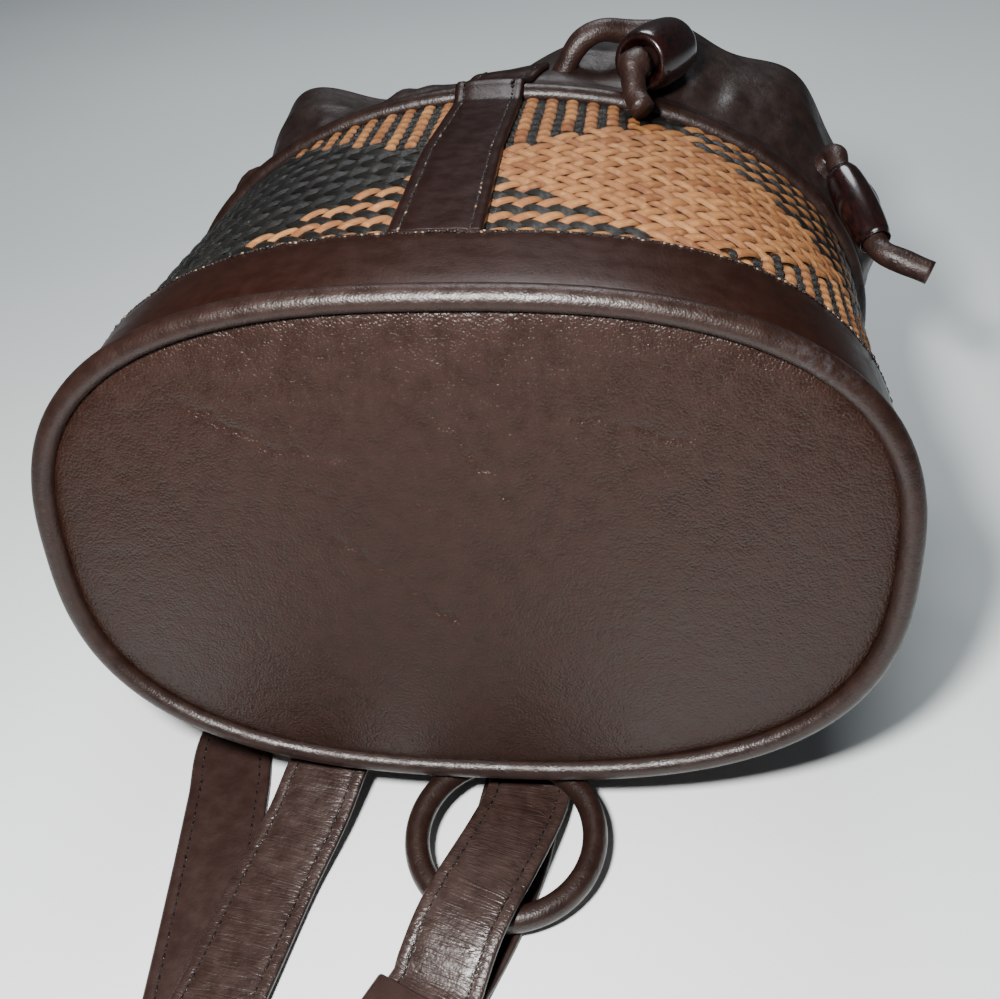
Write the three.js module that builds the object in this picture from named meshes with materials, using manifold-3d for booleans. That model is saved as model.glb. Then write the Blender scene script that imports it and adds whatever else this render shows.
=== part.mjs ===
// A small bucket backpack of plaited straw and leather, lying on its back.
// Millimetres, +Z up. The bag's axis runs along +Y from the base to the open mouth, and +X is to the right.

import * as THREE from "three";
import { mergeVertices } from "three/addons/utils/BufferGeometryUtils.js";
import Module from "manifold-3d";

// Sizes of the bag
const BASE_WIDTH = 240; // across the base, between the middles of its piping
const BASE_DEPTH = 155; // from the back to the front of the base
const BODY_HEIGHT = 150; // along the axis, from the base seam to the collar seam
const BAND_SHARE = 0.23; // the band's stitched edge, as a share of the body's height
const COLLAR_HEIGHT = 52; // from the collar seam to the rim
const BASE_PIPING_RADIUS = 3.3;
const UPPER_PIPING_RADIUS = 3.2;
const LEATHER = 1.6; // wall of the band, the strip and the collar
const PANEL_THICKNESS = 2;
const STRAW = 2.2; // wall of the plaited straw
const GAP = 0.3; // clearance between neighbours

// How the bag lies
const LEAN = THREE.MathUtils.degToRad(5.8); // the base end is propped up, so the axis slopes down to the mouth
const BASE_LIFT = 20; // the back of the base seam above the ground

// Front strip
// Its middle, left of the bag's middle, and its width, at distances from the base seam
const STRIP_COURSE = [
  { s: 35, middle: -7.5, width: 27 },
  { s: 97, middle: -8.6, width: 26 },
  { s: 142, middle: -6.2, width: 24 },
  { s: 174, middle: -5.6, width: 24 },
];
const STRIP_REACH = 24; // how far it runs onto the collar

// Gathered collar and its cord
const FOLDS = 14;
const FOLD_DEPTH = 5; // at the rim
const CORD_RADIUS = 4.2;
const CORD_LINE = 21; // from the collar seam to the slots
const SLOT_CLEARANCE = 0.6;

// Beads
const FRONT_BEAD = { length: 24, radius: 11, end: 9.8, mouth: 7.4, funnel: 5 };
const SIDE_BEAD = { length: 33, radius: 7, end: 5.7, mouth: 4.9, funnel: 1 };
const BEAD_CLEARANCE = 0.35;
const KNOT = { radius: 6.4, length: 13, out: 1.5 }; // under the front bead, its middle this far out of the mouth

// Straps, keepers and ring
const STRAP_WIDTH = 27;
const STRAP_THICKNESS = 2.2;
const KEEPER_WALL = 1.4;
const KEEPER_LENGTH = 24;
const RING_RADIUS = 27.2; // to the middle of its tube
const RING_TUBE = 3.8;
const RING_TILT = THREE.MathUtils.degToRad(8);
const RING_PLACE = { x: 9.5, y: -17.5 };

// Fineness
const BODY_STEPS = 48;
const COLLAR_STEPS = FOLDS * 6;
const ROUND_SIDES = 8;
const RING_STEPS = 32;
const BEAD_SIDES = 12;

// Sections of the bag. along is a share of the body's height, or of the collar's in the second table. width is a share
// of the base's half width. rise, middle and back are shares of its half depth: the height of the front over the widest
// line, of that line over the back plane, and of the back over it. curve is the outline's exponent, shift a share of
// the half width, and fold a share of the fold depth.
const BODY_SECTIONS = [
  { along: 0, width: 1, rise: 1, middle: 1, back: 0, curve: 2.63, shift: 0, fold: 0 },
  { along: BAND_SHARE, width: 1.011, rise: 1.05, middle: 1.03, back: -0.02, curve: 2.6, shift: 0, fold: 0 },
  { along: 0.6, width: 1.035, rise: 1.088, middle: 1.072, back: -0.016, curve: 2.34, shift: 0.002, fold: 0 },
  { along: 1, width: 1.066, rise: 1.13, middle: 1.12, back: 0.01, curve: 2.03, shift: 0.007, fold: 0 },
];
const COLLAR_SECTIONS = [
  { along: 0, width: 1.066, rise: 1.13, middle: 1.12, back: 0.01, curve: 2.03, shift: 0.007, fold: 0 },
  { along: 0.2, width: 1.055, rise: 1.125, middle: 1.14, back: 0.01, curve: 2.03, shift: 0.03, fold: 0.12 },
  { along: 0.4, width: 1.045, rise: 1.135, middle: 1.175, back: 0.01, curve: 2.05, shift: 0.06, fold: 0.4 },
  { along: 0.65, width: 1.08, rise: 1.18, middle: 1.21, back: 0.01, curve: 2.05, shift: 0.07, fold: 0.85 },
  { along: 1, width: 1.095, rise: 1.2, middle: 1.235, back: 0.01, curve: 2.05, shift: 0.075, fold: 1 },
];

// Where the soft collar sinks or swells towards its rim: turns from the front middle, reach to either side, and how
// far out it goes.
const COLLAR_SWELLS = [
  { turn: -0.045, reach: 0.1, out: -22 },
  { turn: 0.115, reach: 0.07, out: 4 },
];
const SWELL_FROM = 0.2; // share of the collar where they begin
const SWELL_FULL = 0.9;

// The cord runs outside the collar on these stretches, in turns from the front middle, negative to the left.
const CORD_OUTSIDE = [
  { from: -0.16, to: -0.23 },
  { from: -0.28, to: -0.34 },
  { from: -0.66, to: -0.72 },
];
const FRONT_EXIT = 0.0195; // where the front end leaves the collar
const SIDE_EXIT = 0.165; // where the side end leaves it
const SLOT_RAMP = 0.012; // turns that the cord takes to pass through the wall

// The free ends of the cord: turns from the front middle, distance past the collar seam and height over the surface.
const FRONT_END = [
  { turn: 0.0215, past: 21, over: 5.2 },
  { turn: 0.0265, past: 21.5, over: 9.6 },
  { turn: 0.034, past: 23, over: 12.2 },
  { turn: 0.0445, past: 25.4, over: 11 },
  { turn: 0.0575, past: 27, over: 8.4 },
  { turn: 0.0695, past: 27.2, over: 8.6 },
  { turn: 0.073, past: 23.8, over: 10.4 },
];
const FRONT_BEAD_AXIS = [
  { turn: 0.0708, past: 18.5, over: 11.6 },
  { turn: 0.0605, past: -4.5, over: 13.4 },
];
const FRONT_TAIL = [
  { turn: 0.0592, past: -7.4, over: 12.8 },
  { turn: 0.0605, past: -11.6, over: 9.2 },
  { turn: 0.0632, past: -14.6, over: 5.4 },
  { turn: 0.067, past: -19, over: 3.6 },
];
const SIDE_END = [
  { turn: 0.167, past: 20.8, over: 1 },
  { turn: 0.1648, past: 19.5, over: 6.8 },
  { turn: 0.1655, past: 16.2, over: 9.4 },
];
const SIDE_BEAD_AXIS = [
  { turn: 0.1705, past: 10.5, over: 9.4 },
  { turn: 0.1965, past: -17.5, over: 9.8 },
];
const SIDE_TAIL = [
  { turn: 0.2, past: -21.5, over: 11 },
  { turn: 0.205, past: -25, over: 16 },
  { turn: 0.211, past: -28.5, over: 23 },
];

// Strap routes. x and y are on the ground, z is the height of the strap's middle, and layer names what it lies on.
const FLOOR_LAYER = STRAP_THICKNESS / 2;
const SECOND_LAYER = FLOOR_LAYER + STRAP_THICKNESS + GAP;
const KEPT_LOWER = KEEPER_WALL + GAP + STRAP_THICKNESS / 2;
const KEPT_UPPER = KEPT_LOWER + STRAP_THICKNESS + GAP;
const FOLD_HEIGHT = 4.6; // of the loose fold at the far end
const STRAP_END = -250; // where the straps fold back

const LEFT_OUT = [
  { x: -42, y: 171, z: 4.3 },
  { x: -44, y: 160, z: 2.6 },
  { x: -47, y: 148, z: FLOOR_LAYER },
  { x: -60, y: 110, z: FLOOR_LAYER },
  { x: -76, y: 68, z: FLOOR_LAYER },
  { x: -89.5, y: 27, z: FLOOR_LAYER },
  { x: -85.5, y: 0, z: FLOOR_LAYER },
  { x: -81, y: -29, z: FLOOR_LAYER },
  { x: -74.8, y: -73, z: FLOOR_LAYER },
  { x: -72.2, y: -92, z: KEPT_LOWER - 0.4 },
];
const LEFT_KEEPER = { x: -71, y: -112, turned: 0.02 };
const LEFT_FAR = [
  { x: -70.5, y: -132, z: KEPT_LOWER - 0.4 },
  { x: -70.2, y: -150, z: FLOOR_LAYER },
  { x: -70, y: -200, z: FLOOR_LAYER },
];
const LEFT_BACK = [
  { x: -69.4, y: -92, z: KEPT_UPPER - 0.3 },
  { x: -65.8, y: -73, z: SECOND_LAYER + 0.3 },
  { x: -59.8, y: -34, z: SECOND_LAYER + 0.6 },
  { x: -54, y: -12, z: 8.5 },
  { x: -50.5, y: 4, z: 13.4 },
  { x: -47.5, y: 16, z: 15.2 },
  { x: -45, y: 33, z: 14.7 },
];
const RIGHT_OUT = [
  { x: 42, y: 171, z: 4.3 },
  { x: 41, y: 160, z: 2.6 },
  { x: 39, y: 148, z: FLOOR_LAYER },
  { x: 31, y: 112, z: FLOOR_LAYER },
  { x: 21, y: 66, z: FLOOR_LAYER },
  { x: 15, y: 27, z: FLOOR_LAYER },
  { x: 12.4, y: 6, z: FLOOR_LAYER },
  { x: 9.6, y: -18, z: FLOOR_LAYER },
  { x: 4, y: -40, z: FLOOR_LAYER },
  { x: -2.4, y: -58, z: FLOOR_LAYER },
];
const RIGHT_KEEPER = { x: -12.3, y: -81, turned: -0.43 };
const RIGHT_FAR = [
  { x: -21.6, y: -103, z: KEPT_LOWER - 0.5 },
  { x: -24.5, y: -122, z: FLOOR_LAYER },
  { x: -25, y: -150, z: FLOOR_LAYER },
  { x: -25, y: -200, z: FLOOR_LAYER },
];
const RIGHT_BACK = [
  { x: -4, y: -61.5, z: 7.6 },
  { x: -0.4, y: -50, z: 12.3 },
  { x: 3.2, y: -40, z: 13.3 },
  { x: 6.8, y: -30, z: 12.8 },
  { x: 11, y: -15, z: 9.6 },
  { x: 13.9, y: -3, z: 7.4 },
  { x: 15.4, y: 9, z: 6.9 },
  { x: 16.2, y: 19, z: 9.6 },
  { x: 16.8, y: 26, z: 12.6 },
  { x: 17.2, y: 33, z: 13.7 },
];

const BAND_HEIGHT = BAND_SHARE * BODY_HEIGHT;
const HALF_WIDTH = BASE_WIDTH / 2;
const HALF_DEPTH = BASE_DEPTH / 2;
const MOUTH = BODY_HEIGHT + COLLAR_HEIGHT;
const REST_HEIGHT = STRAP_THICKNESS + GAP + UPPER_PIPING_RADIUS; // the back keeps this far off the ground

// Colours from the photo
const finish = (color, roughness) => new THREE.MeshStandardMaterial({ color, roughness, metalness: 0 });
const BROWN_LEATHER = finish(0x3a221b, 0.45);
const PANEL_LEATHER = finish(0x3f2820, 0.5);
const SOFT_LEATHER = finish(0x33231f, 0.55);
const STRAP_LEATHER = finish(0x3b2823, 0.6);
const PLAITED_STRAW = finish(0xb98d62, 0.7);
const DARK_WOOD = finish(0x2a100c, 0.25);

// A point given in the bag's own frame: x across, s along the axis and h over the back plane.
function place(x, s, h) {
  return new THREE.Vector3(
    x,
    s * Math.cos(LEAN) + h * Math.sin(LEAN),
    BASE_LIFT - s * Math.sin(LEAN) + h * Math.cos(LEAN),
  );
}

// The height over the back plane at which the soft back meets what it rests on.
function restHeight(s) {
  return (REST_HEIGHT - BASE_LIFT + s * Math.sin(LEAN)) / Math.cos(LEAN);
}

function sectionAt(s) {
  const inBody = s <= BODY_HEIGHT;
  const rows = inBody ? BODY_SECTIONS : COLLAR_SECTIONS;
  const share = inBody ? s / BODY_HEIGHT : (s - BODY_HEIGHT) / COLLAR_HEIGHT;
  const last = rows.findIndex((row) => row.along >= share);
  const upper = last < 0 ? rows.length - 1 : Math.max(last, 1);
  const [low, high] = [rows[upper - 1], rows[upper]];
  const t = (share - low.along) / (high.along - low.along);
  const mix = (column) => THREE.MathUtils.lerp(low[column], high[column], t);
  const back = Math.max(mix("back") * HALF_DEPTH, restHeight(s));
  const middle = mix("middle") * HALF_DEPTH;
  return {
    width: mix("width") * HALF_WIDTH,
    rise: mix("rise") * HALF_DEPTH,
    drop: middle - back,
    middle,
    curve: mix("curve"),
    shift: mix("shift") * HALF_WIDTH,
    fold: mix("fold") * FOLD_DEPTH,
  };
}

// The outline of a section as points at even distances, clockwise from the front middle, with outward normals.
const TRACE_STEPS = 720;
const BACK_CURVE = 2.6;
const outlines = new Map();
function outlineAt(s) {
  const key = s.toFixed(4);
  if (outlines.has(key)) return outlines.get(key);
  const section = sectionAt(s);
  const trace = [];
  for (let i = 0; i <= TRACE_STEPS; i++) {
    const angle = Math.PI / 2 - (2 * Math.PI * i) / TRACE_STEPS;
    const [c, d] = [Math.cos(angle), Math.sin(angle)];
    const power = 2 / (d >= 0 ? section.curve : BACK_CURVE);
    const x = section.shift + section.width * Math.sign(c) * Math.abs(c) ** power;
    const reach = d >= 0 ? section.rise : section.drop;
    trace.push(new THREE.Vector2(x, section.middle + reach * Math.sign(d) * Math.abs(d) ** power));
  }
  const lengths = [0];
  for (let i = 1; i < trace.length; i++) lengths.push(lengths[i - 1] + trace[i].distanceTo(trace[i - 1]));
  const outline = { section, trace, lengths, around: lengths[TRACE_STEPS] };
  outlines.set(key, outline);
  return outline;
}

function onOutline(outline, turn) {
  const wanted = (((turn % 1) + 1) % 1) * outline.around;
  let [low, high] = [0, TRACE_STEPS];
  while (high - low > 1) {
    const half = (low + high) >> 1;
    if (outline.lengths[half] <= wanted) low = half;
    else high = half;
  }
  const t = (wanted - outline.lengths[low]) / (outline.lengths[high] - outline.lengths[low]);
  return outline.trace[low].clone().lerp(outline.trace[high], t);
}

// Folds of the gathered leather: none under the strip, and shallow where the collar lies on the ground.
const CALM_FRONT = 0.05; // turns beside the front strip without folds
const BACK_FOLD = 0.35; // share of the folds' depth that stays at the back
function foldAt(turn) {
  const t = ((turn % 1) + 1) % 1;
  const angle = 2 * Math.PI * t;
  const wave = 0.72 * Math.cos(FOLDS * angle + 0.8 * Math.sin(3 * angle)) + 0.28 * Math.cos(9 * angle + 1.3);
  const fromFront = Math.min(t, 1 - t);
  const calm = THREE.MathUtils.smoothstep(fromFront, CALM_FRONT / 2, CALM_FRONT);
  const back = 1 - (1 - BACK_FOLD) * THREE.MathUtils.smoothstep(fromFront, 0.27, 0.36);
  return wave * calm * back;
}

function swellAt(turn, s) {
  const weight = THREE.MathUtils.smoothstep((s - BODY_HEIGHT) / COLLAR_HEIGHT, SWELL_FROM, SWELL_FULL);
  let sum = 0;
  for (const swell of COLLAR_SWELLS) {
    const away = turn - swell.turn - Math.round(turn - swell.turn);
    if (Math.abs(away) < swell.reach) sum += swell.out * Math.cos((Math.PI / 2) * (away / swell.reach)) ** 2;
  }
  return weight * sum;
}

// A point of the bag's surface: turns from the front middle, distance along the axis and height over the surface.
const NORMAL_STEP = 0.002;
function surface(turn, s, over = 0) {
  const outline = outlineAt(s);
  const here = onOutline(outline, turn);
  const before = onOutline(outline, turn - NORMAL_STEP);
  const after = onOutline(outline, turn + NORMAL_STEP);
  const normal = new THREE.Vector2(-(after.y - before.y), after.x - before.x).normalize();
  const out = over + outline.section.fold * foldAt(turn) + swellAt(turn, s);
  return place(here.x + normal.x * out, s, here.y + normal.y * out);
}

// A closed mesh from a grid of points that closes on itself both ways.
function torusGrid(rows) {
  const [m, n] = [rows.length, rows[0].length];
  const positions = rows.flat().flatMap((p) => [p.x, p.y, p.z]);
  const index = [];
  for (let i = 0; i < m; i++)
    for (let j = 0; j < n; j++) {
      const [a, b] = [i * n + j, i * n + ((j + 1) % n)];
      const [c, d] = [((i + 1) % m) * n + j, ((i + 1) % m) * n + ((j + 1) % n)];
      index.push(a, c, b, b, c, d);
    }
  return indexed(positions, index);
}

// A closed mesh from a row of loops, with its first and last loop filled by a fan from their first point.
function cappedGrid(loops) {
  const n = loops[0].length;
  const positions = loops.flat().flatMap((p) => [p.x, p.y, p.z]);
  const index = [];
  for (let i = 0; i + 1 < loops.length; i++)
    for (let j = 0; j < n; j++) {
      const [a, b] = [i * n + j, i * n + ((j + 1) % n)];
      index.push(a, a + n, b, b, a + n, b + n);
    }
  const end = (loops.length - 1) * n;
  for (let j = 1; j + 1 < n; j++) {
    index.push(0, j, j + 1);
    index.push(end, end + j + 1, end + j);
  }
  return indexed(positions, index);
}

function indexed(positions, index) {
  const geometry = new THREE.BufferGeometry();
  geometry.setAttribute("position", new THREE.Float32BufferAttribute(positions, 3));
  geometry.setIndex(index);
  return volume(geometry) < 0 ? flipped(geometry) : geometry;
}

function volume(geometry) {
  const p = geometry.attributes.position;
  const corner = [new THREE.Vector3(), new THREE.Vector3(), new THREE.Vector3()];
  let sum = 0;
  for (let i = 0; i < geometry.index.count; i += 3) {
    corner.forEach((v, k) => v.fromBufferAttribute(p, geometry.index.getX(i + k)));
    sum += corner[0].dot(corner[1].cross(corner[2])) / 6;
  }
  return sum;
}

function flipped(geometry) {
  const index = Array.from(geometry.index.array);
  for (let i = 0; i < index.length; i += 3) [index[i + 1], index[i + 2]] = [index[i + 2], index[i + 1]];
  geometry.setIndex(index);
  return geometry;
}

// A wall or a roll that runs all round the bag, from a closed profile of {s, over}.
function allRound(profile, steps) {
  const rows = profile.map(({ s, over }) => {
    const row = [];
    for (let j = 0; j < steps; j++) row.push(surface(j / steps, s, over));
    return row;
  });
  return torusGrid(rows);
}

// The profile of a wall between two places along the axis, its outer face at the given height over the surface. It has
// a row at each section of the bag and at the extra places, so that neighbouring walls bend together.
function wallProfile(from, to, outer, thickness, extra = []) {
  const sections = [
    ...BODY_SECTIONS.map(({ along }) => along * BODY_HEIGHT),
    ...COLLAR_SECTIONS.map(({ along }) => BODY_HEIGHT + along * COLLAR_HEIGHT),
    ...extra,
  ];
  const between = sections.filter((s) => s > from + 0.5 && s < to - 0.5).sort((a, b) => a - b);
  const rows = [from, ...between, to];
  const outside = rows.map((s) => ({ s, over: outer }));
  const inside = [...rows].reverse().map((s) => ({ s, over: outer - thickness }));
  return [...outside, ...inside];
}

function rollProfile(s, over, radius) {
  return Array.from({ length: ROUND_SIDES }, (_, i) => {
    const angle = (2 * Math.PI * (i + 0.5)) / ROUND_SIDES;
    return { s: s + radius * Math.cos(angle), over: over + radius * Math.sin(angle) };
  });
}

const STRAW_OUTER = -(LEATHER + GAP); // the straw lies inside the band
const STRAW_LAP = 8; // how far it runs down inside the band
const STRAW_ROWS = [0.42, 0.8].map((share) => share * BODY_HEIGHT);
const COLLAR_ROWS = [0.52, 0.82].map((share) => BODY_HEIGHT + share * COLLAR_HEIGHT);
const UPPER_SEAM_OVER = STRAW_OUTER + 0.9;

// The base plate, inside its piping
function basePanel() {
  const inset = -(BASE_PIPING_RADIUS + GAP);
  const shape = new THREE.Shape();
  for (let j = 0; j < BODY_STEPS; j++) {
    const outline = outlineAt(0);
    const turn = -j / BODY_STEPS;
    const here = onOutline(outline, turn);
    const [before, after] = [onOutline(outline, turn - NORMAL_STEP), onOutline(outline, turn + NORMAL_STEP)];
    const normal = new THREE.Vector2(-(after.y - before.y), after.x - before.x).normalize();
    const [x, y] = [here.x + normal.x * inset, here.y + normal.y * inset];
    if (j) shape.lineTo(x, y);
    else shape.moveTo(x, y);
  }
  const geometry = new THREE.ExtrudeGeometry(shape, { depth: PANEL_THICKNESS, bevelEnabled: false });
  const p = geometry.attributes.position;
  for (let i = 0; i < p.count; i++) {
    const point = place(p.getX(i), PANEL_THICKNESS / 2 - p.getZ(i), p.getY(i));
    p.setXYZ(i, point.x, point.y, point.z);
  }
  return geometry;
}

function stripAt(s) {
  const found = STRIP_COURSE.findIndex((row) => row.s >= s);
  const upper = found < 0 ? STRIP_COURSE.length - 1 : Math.max(found, 1);
  const [low, high] = [STRIP_COURSE[upper - 1], STRIP_COURSE[upper]];
  const t = THREE.MathUtils.clamp((s - low.s) / (high.s - low.s), 0, 1);
  return {
    middle: THREE.MathUtils.lerp(low.middle, high.middle, t),
    width: THREE.MathUtils.lerp(low.width, high.width, t),
  };
}

// The front strip follows the straw, climbs over the upper piping and lies down on the collar.
function frontStrip() {
  const pipingTop = UPPER_SEAM_OVER + UPPER_PIPING_RADIUS + GAP;
  const onStraw = STRAW_OUTER + GAP;
  const rows = [];
  const start = BAND_HEIGHT + GAP;
  const climb = BODY_HEIGHT - 2.6 * UPPER_PIPING_RADIUS;
  for (let i = 0; i <= 5; i++) rows.push({ s: start + ((climb - start) * i) / 5, over: onStraw });
  rows.push({ s: BODY_HEIGHT - UPPER_PIPING_RADIUS, over: pipingTop - 1.2 });
  rows.push({ s: BODY_HEIGHT - 0.3 * UPPER_PIPING_RADIUS, over: pipingTop });
  rows.push({ s: BODY_HEIGHT + 0.3 * UPPER_PIPING_RADIUS, over: pipingTop });
  rows.push({ s: BODY_HEIGHT + UPPER_PIPING_RADIUS, over: pipingTop - 0.8 });
  rows.push({ s: BODY_HEIGHT + 2.2 * UPPER_PIPING_RADIUS, over: GAP });
  rows.push({ s: BODY_HEIGHT + 0.65 * STRIP_REACH, over: GAP });
  rows.push({ s: BODY_HEIGHT + STRIP_REACH, over: GAP });
  const columns = 6;
  const loops = rows.map(({ s, over }) => {
    const around = outlineAt(s).around;
    const loop = [];
    const { middle, width } = stripAt(s);
    const turn = (j) => (middle + width * (j / columns - 0.5)) / around;
    for (let j = 0; j <= columns; j++) loop.push(surface(turn(j), s, over));
    for (let j = columns; j >= 0; j--) loop.push(surface(turn(j), s, over + LEATHER));
    return loop;
  });
  return cappedGrid(loops);
}

const wasm = await Module();
wasm.setup();

function solid(geometry) {
  const bare = geometry.clone();
  bare.deleteAttribute("normal");
  bare.deleteAttribute("uv");
  const merged = mergeVertices(bare, 1e-4);
  return new wasm.Manifold(
    new wasm.Mesh({
      numProp: 3,
      vertProperties: merged.attributes.position.array,
      triVerts: new Uint32Array(merged.index.array),
    }),
  );
}

function geometryOf(manifold) {
  const mesh = manifold.getMesh();
  const geometry = new THREE.BufferGeometry();
  geometry.setAttribute("position", new THREE.BufferAttribute(mesh.vertProperties, 3));
  geometry.setIndex(new THREE.BufferAttribute(mesh.triVerts, 1));
  return geometry;
}

function roundCircle(radius, sides = ROUND_SIDES) {
  const shape = new THREE.Shape();
  for (let i = 0; i < sides; i++) {
    const angle = (2 * Math.PI * i) / sides;
    const [x, y] = [radius * Math.cos(angle), radius * Math.sin(angle)];
    if (i) shape.lineTo(x, y);
    else shape.moveTo(x, y);
  }
  return shape;
}

function tube(points, radius, step) {
  const curve = new THREE.CatmullRomCurve3(points, false, "centripetal");
  const steps = Math.max(4, Math.round(curve.getLength() / step));
  return new THREE.ExtrudeGeometry(roundCircle(radius), { steps, extrudePath: curve, bevelEnabled: false });
}

// The held stretch of the cord, from the side exit round the back to the front exit.
function heldRoute() {
  const inside = -(LEATHER + GAP + CORD_RADIUS + 0.4);
  const outside = CORD_RADIUS + GAP + 0.4;
  const points = [];
  const steps = 60;
  const first = FRONT_EXIT - SLOT_RAMP;
  const last = SIDE_EXIT - 1 + SLOT_RAMP;
  for (let i = 0; i <= steps; i++) {
    const turn = first + ((last - first) * i) / steps;
    let share = 0;
    for (const { from, to } of CORD_OUTSIDE) {
      const entered = THREE.MathUtils.smoothstep(from - turn, -SLOT_RAMP / 2, SLOT_RAMP / 2);
      const left = THREE.MathUtils.smoothstep(to - turn, -SLOT_RAMP / 2, SLOT_RAMP / 2);
      share += entered - left;
    }
    points.push(surface(turn, BODY_HEIGHT + CORD_LINE, THREE.MathUtils.lerp(inside, outside, share)));
  }
  return points;
}

const surfacePoints = (rows) => rows.map(({ turn, past, over }) => surface(turn, BODY_HEIGHT + past, over));

// Each free end starts inside the collar, GAP past the held cord's end, and runs straight through its bead.
const STRAIGHT_LEAD = 2; // before and after a bead
function freeRoute(end, beforeEnd, rows, axis, tail) {
  const heading = end.clone().sub(beforeEnd).normalize();
  const [start, stop] = surfacePoints(axis);
  const lead = stop.clone().sub(start).setLength(STRAIGHT_LEAD);
  return [
    end.clone().addScaledVector(heading, GAP),
    end.clone().addScaledVector(heading, GAP + 3),
    ...surfacePoints(rows),
    start.clone().sub(lead),
    start,
    stop,
    stop.clone().add(lead),
    ...surfacePoints(tail),
  ];
}

// A bead bored through along its axis, between the two ends of that axis.
function bead(axis, size) {
  const [start, end] = surfacePoints(axis);
  const bore = CORD_RADIUS + BEAD_CLEARANCE;
  const half = size.length / 2;
  const outer = [-1, -0.8, -0.4, 0, 0.4, 0.8, 1].map(
    (t) => new THREE.Vector2(size.end + (size.radius - size.end) * (1 - t * t), t * half),
  );
  const profile = [
    new THREE.Vector2(bore, -half),
    ...outer,
    new THREE.Vector2(size.mouth, half),
    new THREE.Vector2(bore, half - size.funnel),
    new THREE.Vector2(bore, -half),
  ];
  const geometry = new THREE.LatheGeometry(profile, BEAD_SIDES);
  const mesh = { geometry, position: start.clone().lerp(end, 0.5) };
  mesh.quaternion = new THREE.Quaternion().setFromUnitVectors(
    new THREE.Vector3(0, 1, 0),
    end.clone().sub(start).normalize(),
  );
  return mesh;
}

// The front end's tail is knotted so that the bead can't slip off.
function knot() {
  const [start, end] = surfacePoints(FRONT_BEAD_AXIS);
  const heading = end.clone().sub(start).normalize();
  const ball = new THREE.SphereGeometry(1, 10, 6).scale(KNOT.radius, KNOT.length / 2, KNOT.radius);
  ball.applyQuaternion(new THREE.Quaternion().setFromUnitVectors(new THREE.Vector3(0, 1, 0), heading));
  const centre = end.addScaledVector(heading, KNOT.out);
  return ball.translate(centre.x, centre.y, centre.z);
}

// A flat strap along a route, its width level and square to the route, with a row at each point of the route.
const LEVEL_ENOUGH = 0.35; // below this share the route is too steep to give the width its heading
function ribbon(points, width, thickness, step) {
  const curve = new THREE.CatmullRomCurve3(points, false, "centripetal");
  const stations = [0];
  for (let i = 1; i < points.length; i++) {
    const parts = Math.max(1, Math.round(points[i].distanceTo(points[i - 1]) / step));
    for (let k = 1; k <= parts; k++) stations.push((i - 1 + k / parts) / (points.length - 1));
  }
  let across = null;
  const loops = stations.map((station) => {
    const point = curve.getPoint(station);
    const tangent = curve.getTangent(station);
    const level = new THREE.Vector3(tangent.y, -tangent.x, 0);
    if (!across || level.length() > LEVEL_ENOUGH) {
      level.normalize();
      if (across && level.dot(across) < 0) level.negate();
      across = level;
    }
    const up = new THREE.Vector3().crossVectors(tangent, across).normalize();
    return [[-1, -1], [1, -1], [1, 1], [-1, 1]].map(([side, lift]) =>
      point.clone().addScaledVector(across, (side * width) / 2).addScaledVector(up, (lift * thickness) / 2),
    );
  });
  for (const corner of loops.flat()) corner.z = Math.max(corner.z, 0); // flat on the ground
  return cappedGrid(loops);
}

// The loose fold where a strap turns back over itself.
function farFold(x) {
  return [
    { x, y: STRAP_END + 22, z: FLOOR_LAYER },
    { x, y: STRAP_END + 6, z: FLOOR_LAYER },
    { x, y: STRAP_END + 1.2, z: FLOOR_LAYER + 0.5 },
    { x, y: STRAP_END, z: FLOOR_LAYER + FOLD_HEIGHT / 2 },
    { x, y: STRAP_END + 1.2, z: FLOOR_LAYER + FOLD_HEIGHT - 0.5 },
    { x, y: STRAP_END + 6, z: FLOOR_LAYER + FOLD_HEIGHT },
    { x, y: STRAP_END + 22, z: SECOND_LAYER + 0.8 },
  ];
}

function strapRoute(out, keeper, far, back) {
  const along = new THREE.Vector2(Math.sin(keeper.turned), -Math.cos(keeper.turned));
  const kept = (z) =>
    [-0.72, -0.53, 0.53, 0.72].map((share) => ({
      x: keeper.x + along.x * share * KEEPER_LENGTH,
      y: keeper.y + along.y * share * KEEPER_LENGTH,
      z,
    }));
  const foldX = far[far.length - 1].x;
  const lifted = [...far].reverse().map(({ x, y, z }) => ({ x, y, z: z + STRAP_THICKNESS + GAP + 0.2 }));
  return [
    ...out,
    ...kept(KEPT_LOWER),
    ...far,
    ...farFold(foldX),
    ...lifted,
    ...kept(KEPT_UPPER).reverse(),
    ...back,
  ].map(({ x, y, z }) => new THREE.Vector3(x, y, z));
}

// A sleeve round both layers of a strap
function keeper({ x, y, turned }) {
  const halfWidth = STRAP_WIDTH / 2 + GAP + 0.4;
  const inner = { low: KEPT_LOWER - STRAP_THICKNESS / 2 - GAP, high: KEPT_UPPER + STRAP_THICKNESS / 2 + GAP };
  const shape = new THREE.Shape();
  const outer = [halfWidth + KEEPER_WALL, inner.low - KEEPER_WALL, inner.high + KEEPER_WALL];
  shape.moveTo(-outer[0], outer[1]).lineTo(outer[0], outer[1]).lineTo(outer[0], outer[2]).lineTo(-outer[0], outer[2]);
  const hole = new THREE.Path();
  hole.moveTo(-halfWidth, inner.low).lineTo(-halfWidth, inner.high).lineTo(halfWidth, inner.high);
  hole.lineTo(halfWidth, inner.low);
  shape.holes.push(hole);
  const geometry = new THREE.ExtrudeGeometry(shape, { depth: KEEPER_LENGTH, bevelEnabled: false });
  geometry.translate(0, 0, -KEEPER_LENGTH / 2).rotateX(Math.PI / 2);
  return { geometry, position: new THREE.Vector3(x, y, 0), rotation: turned };
}

// Assembly
const bag = new THREE.Group();

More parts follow.
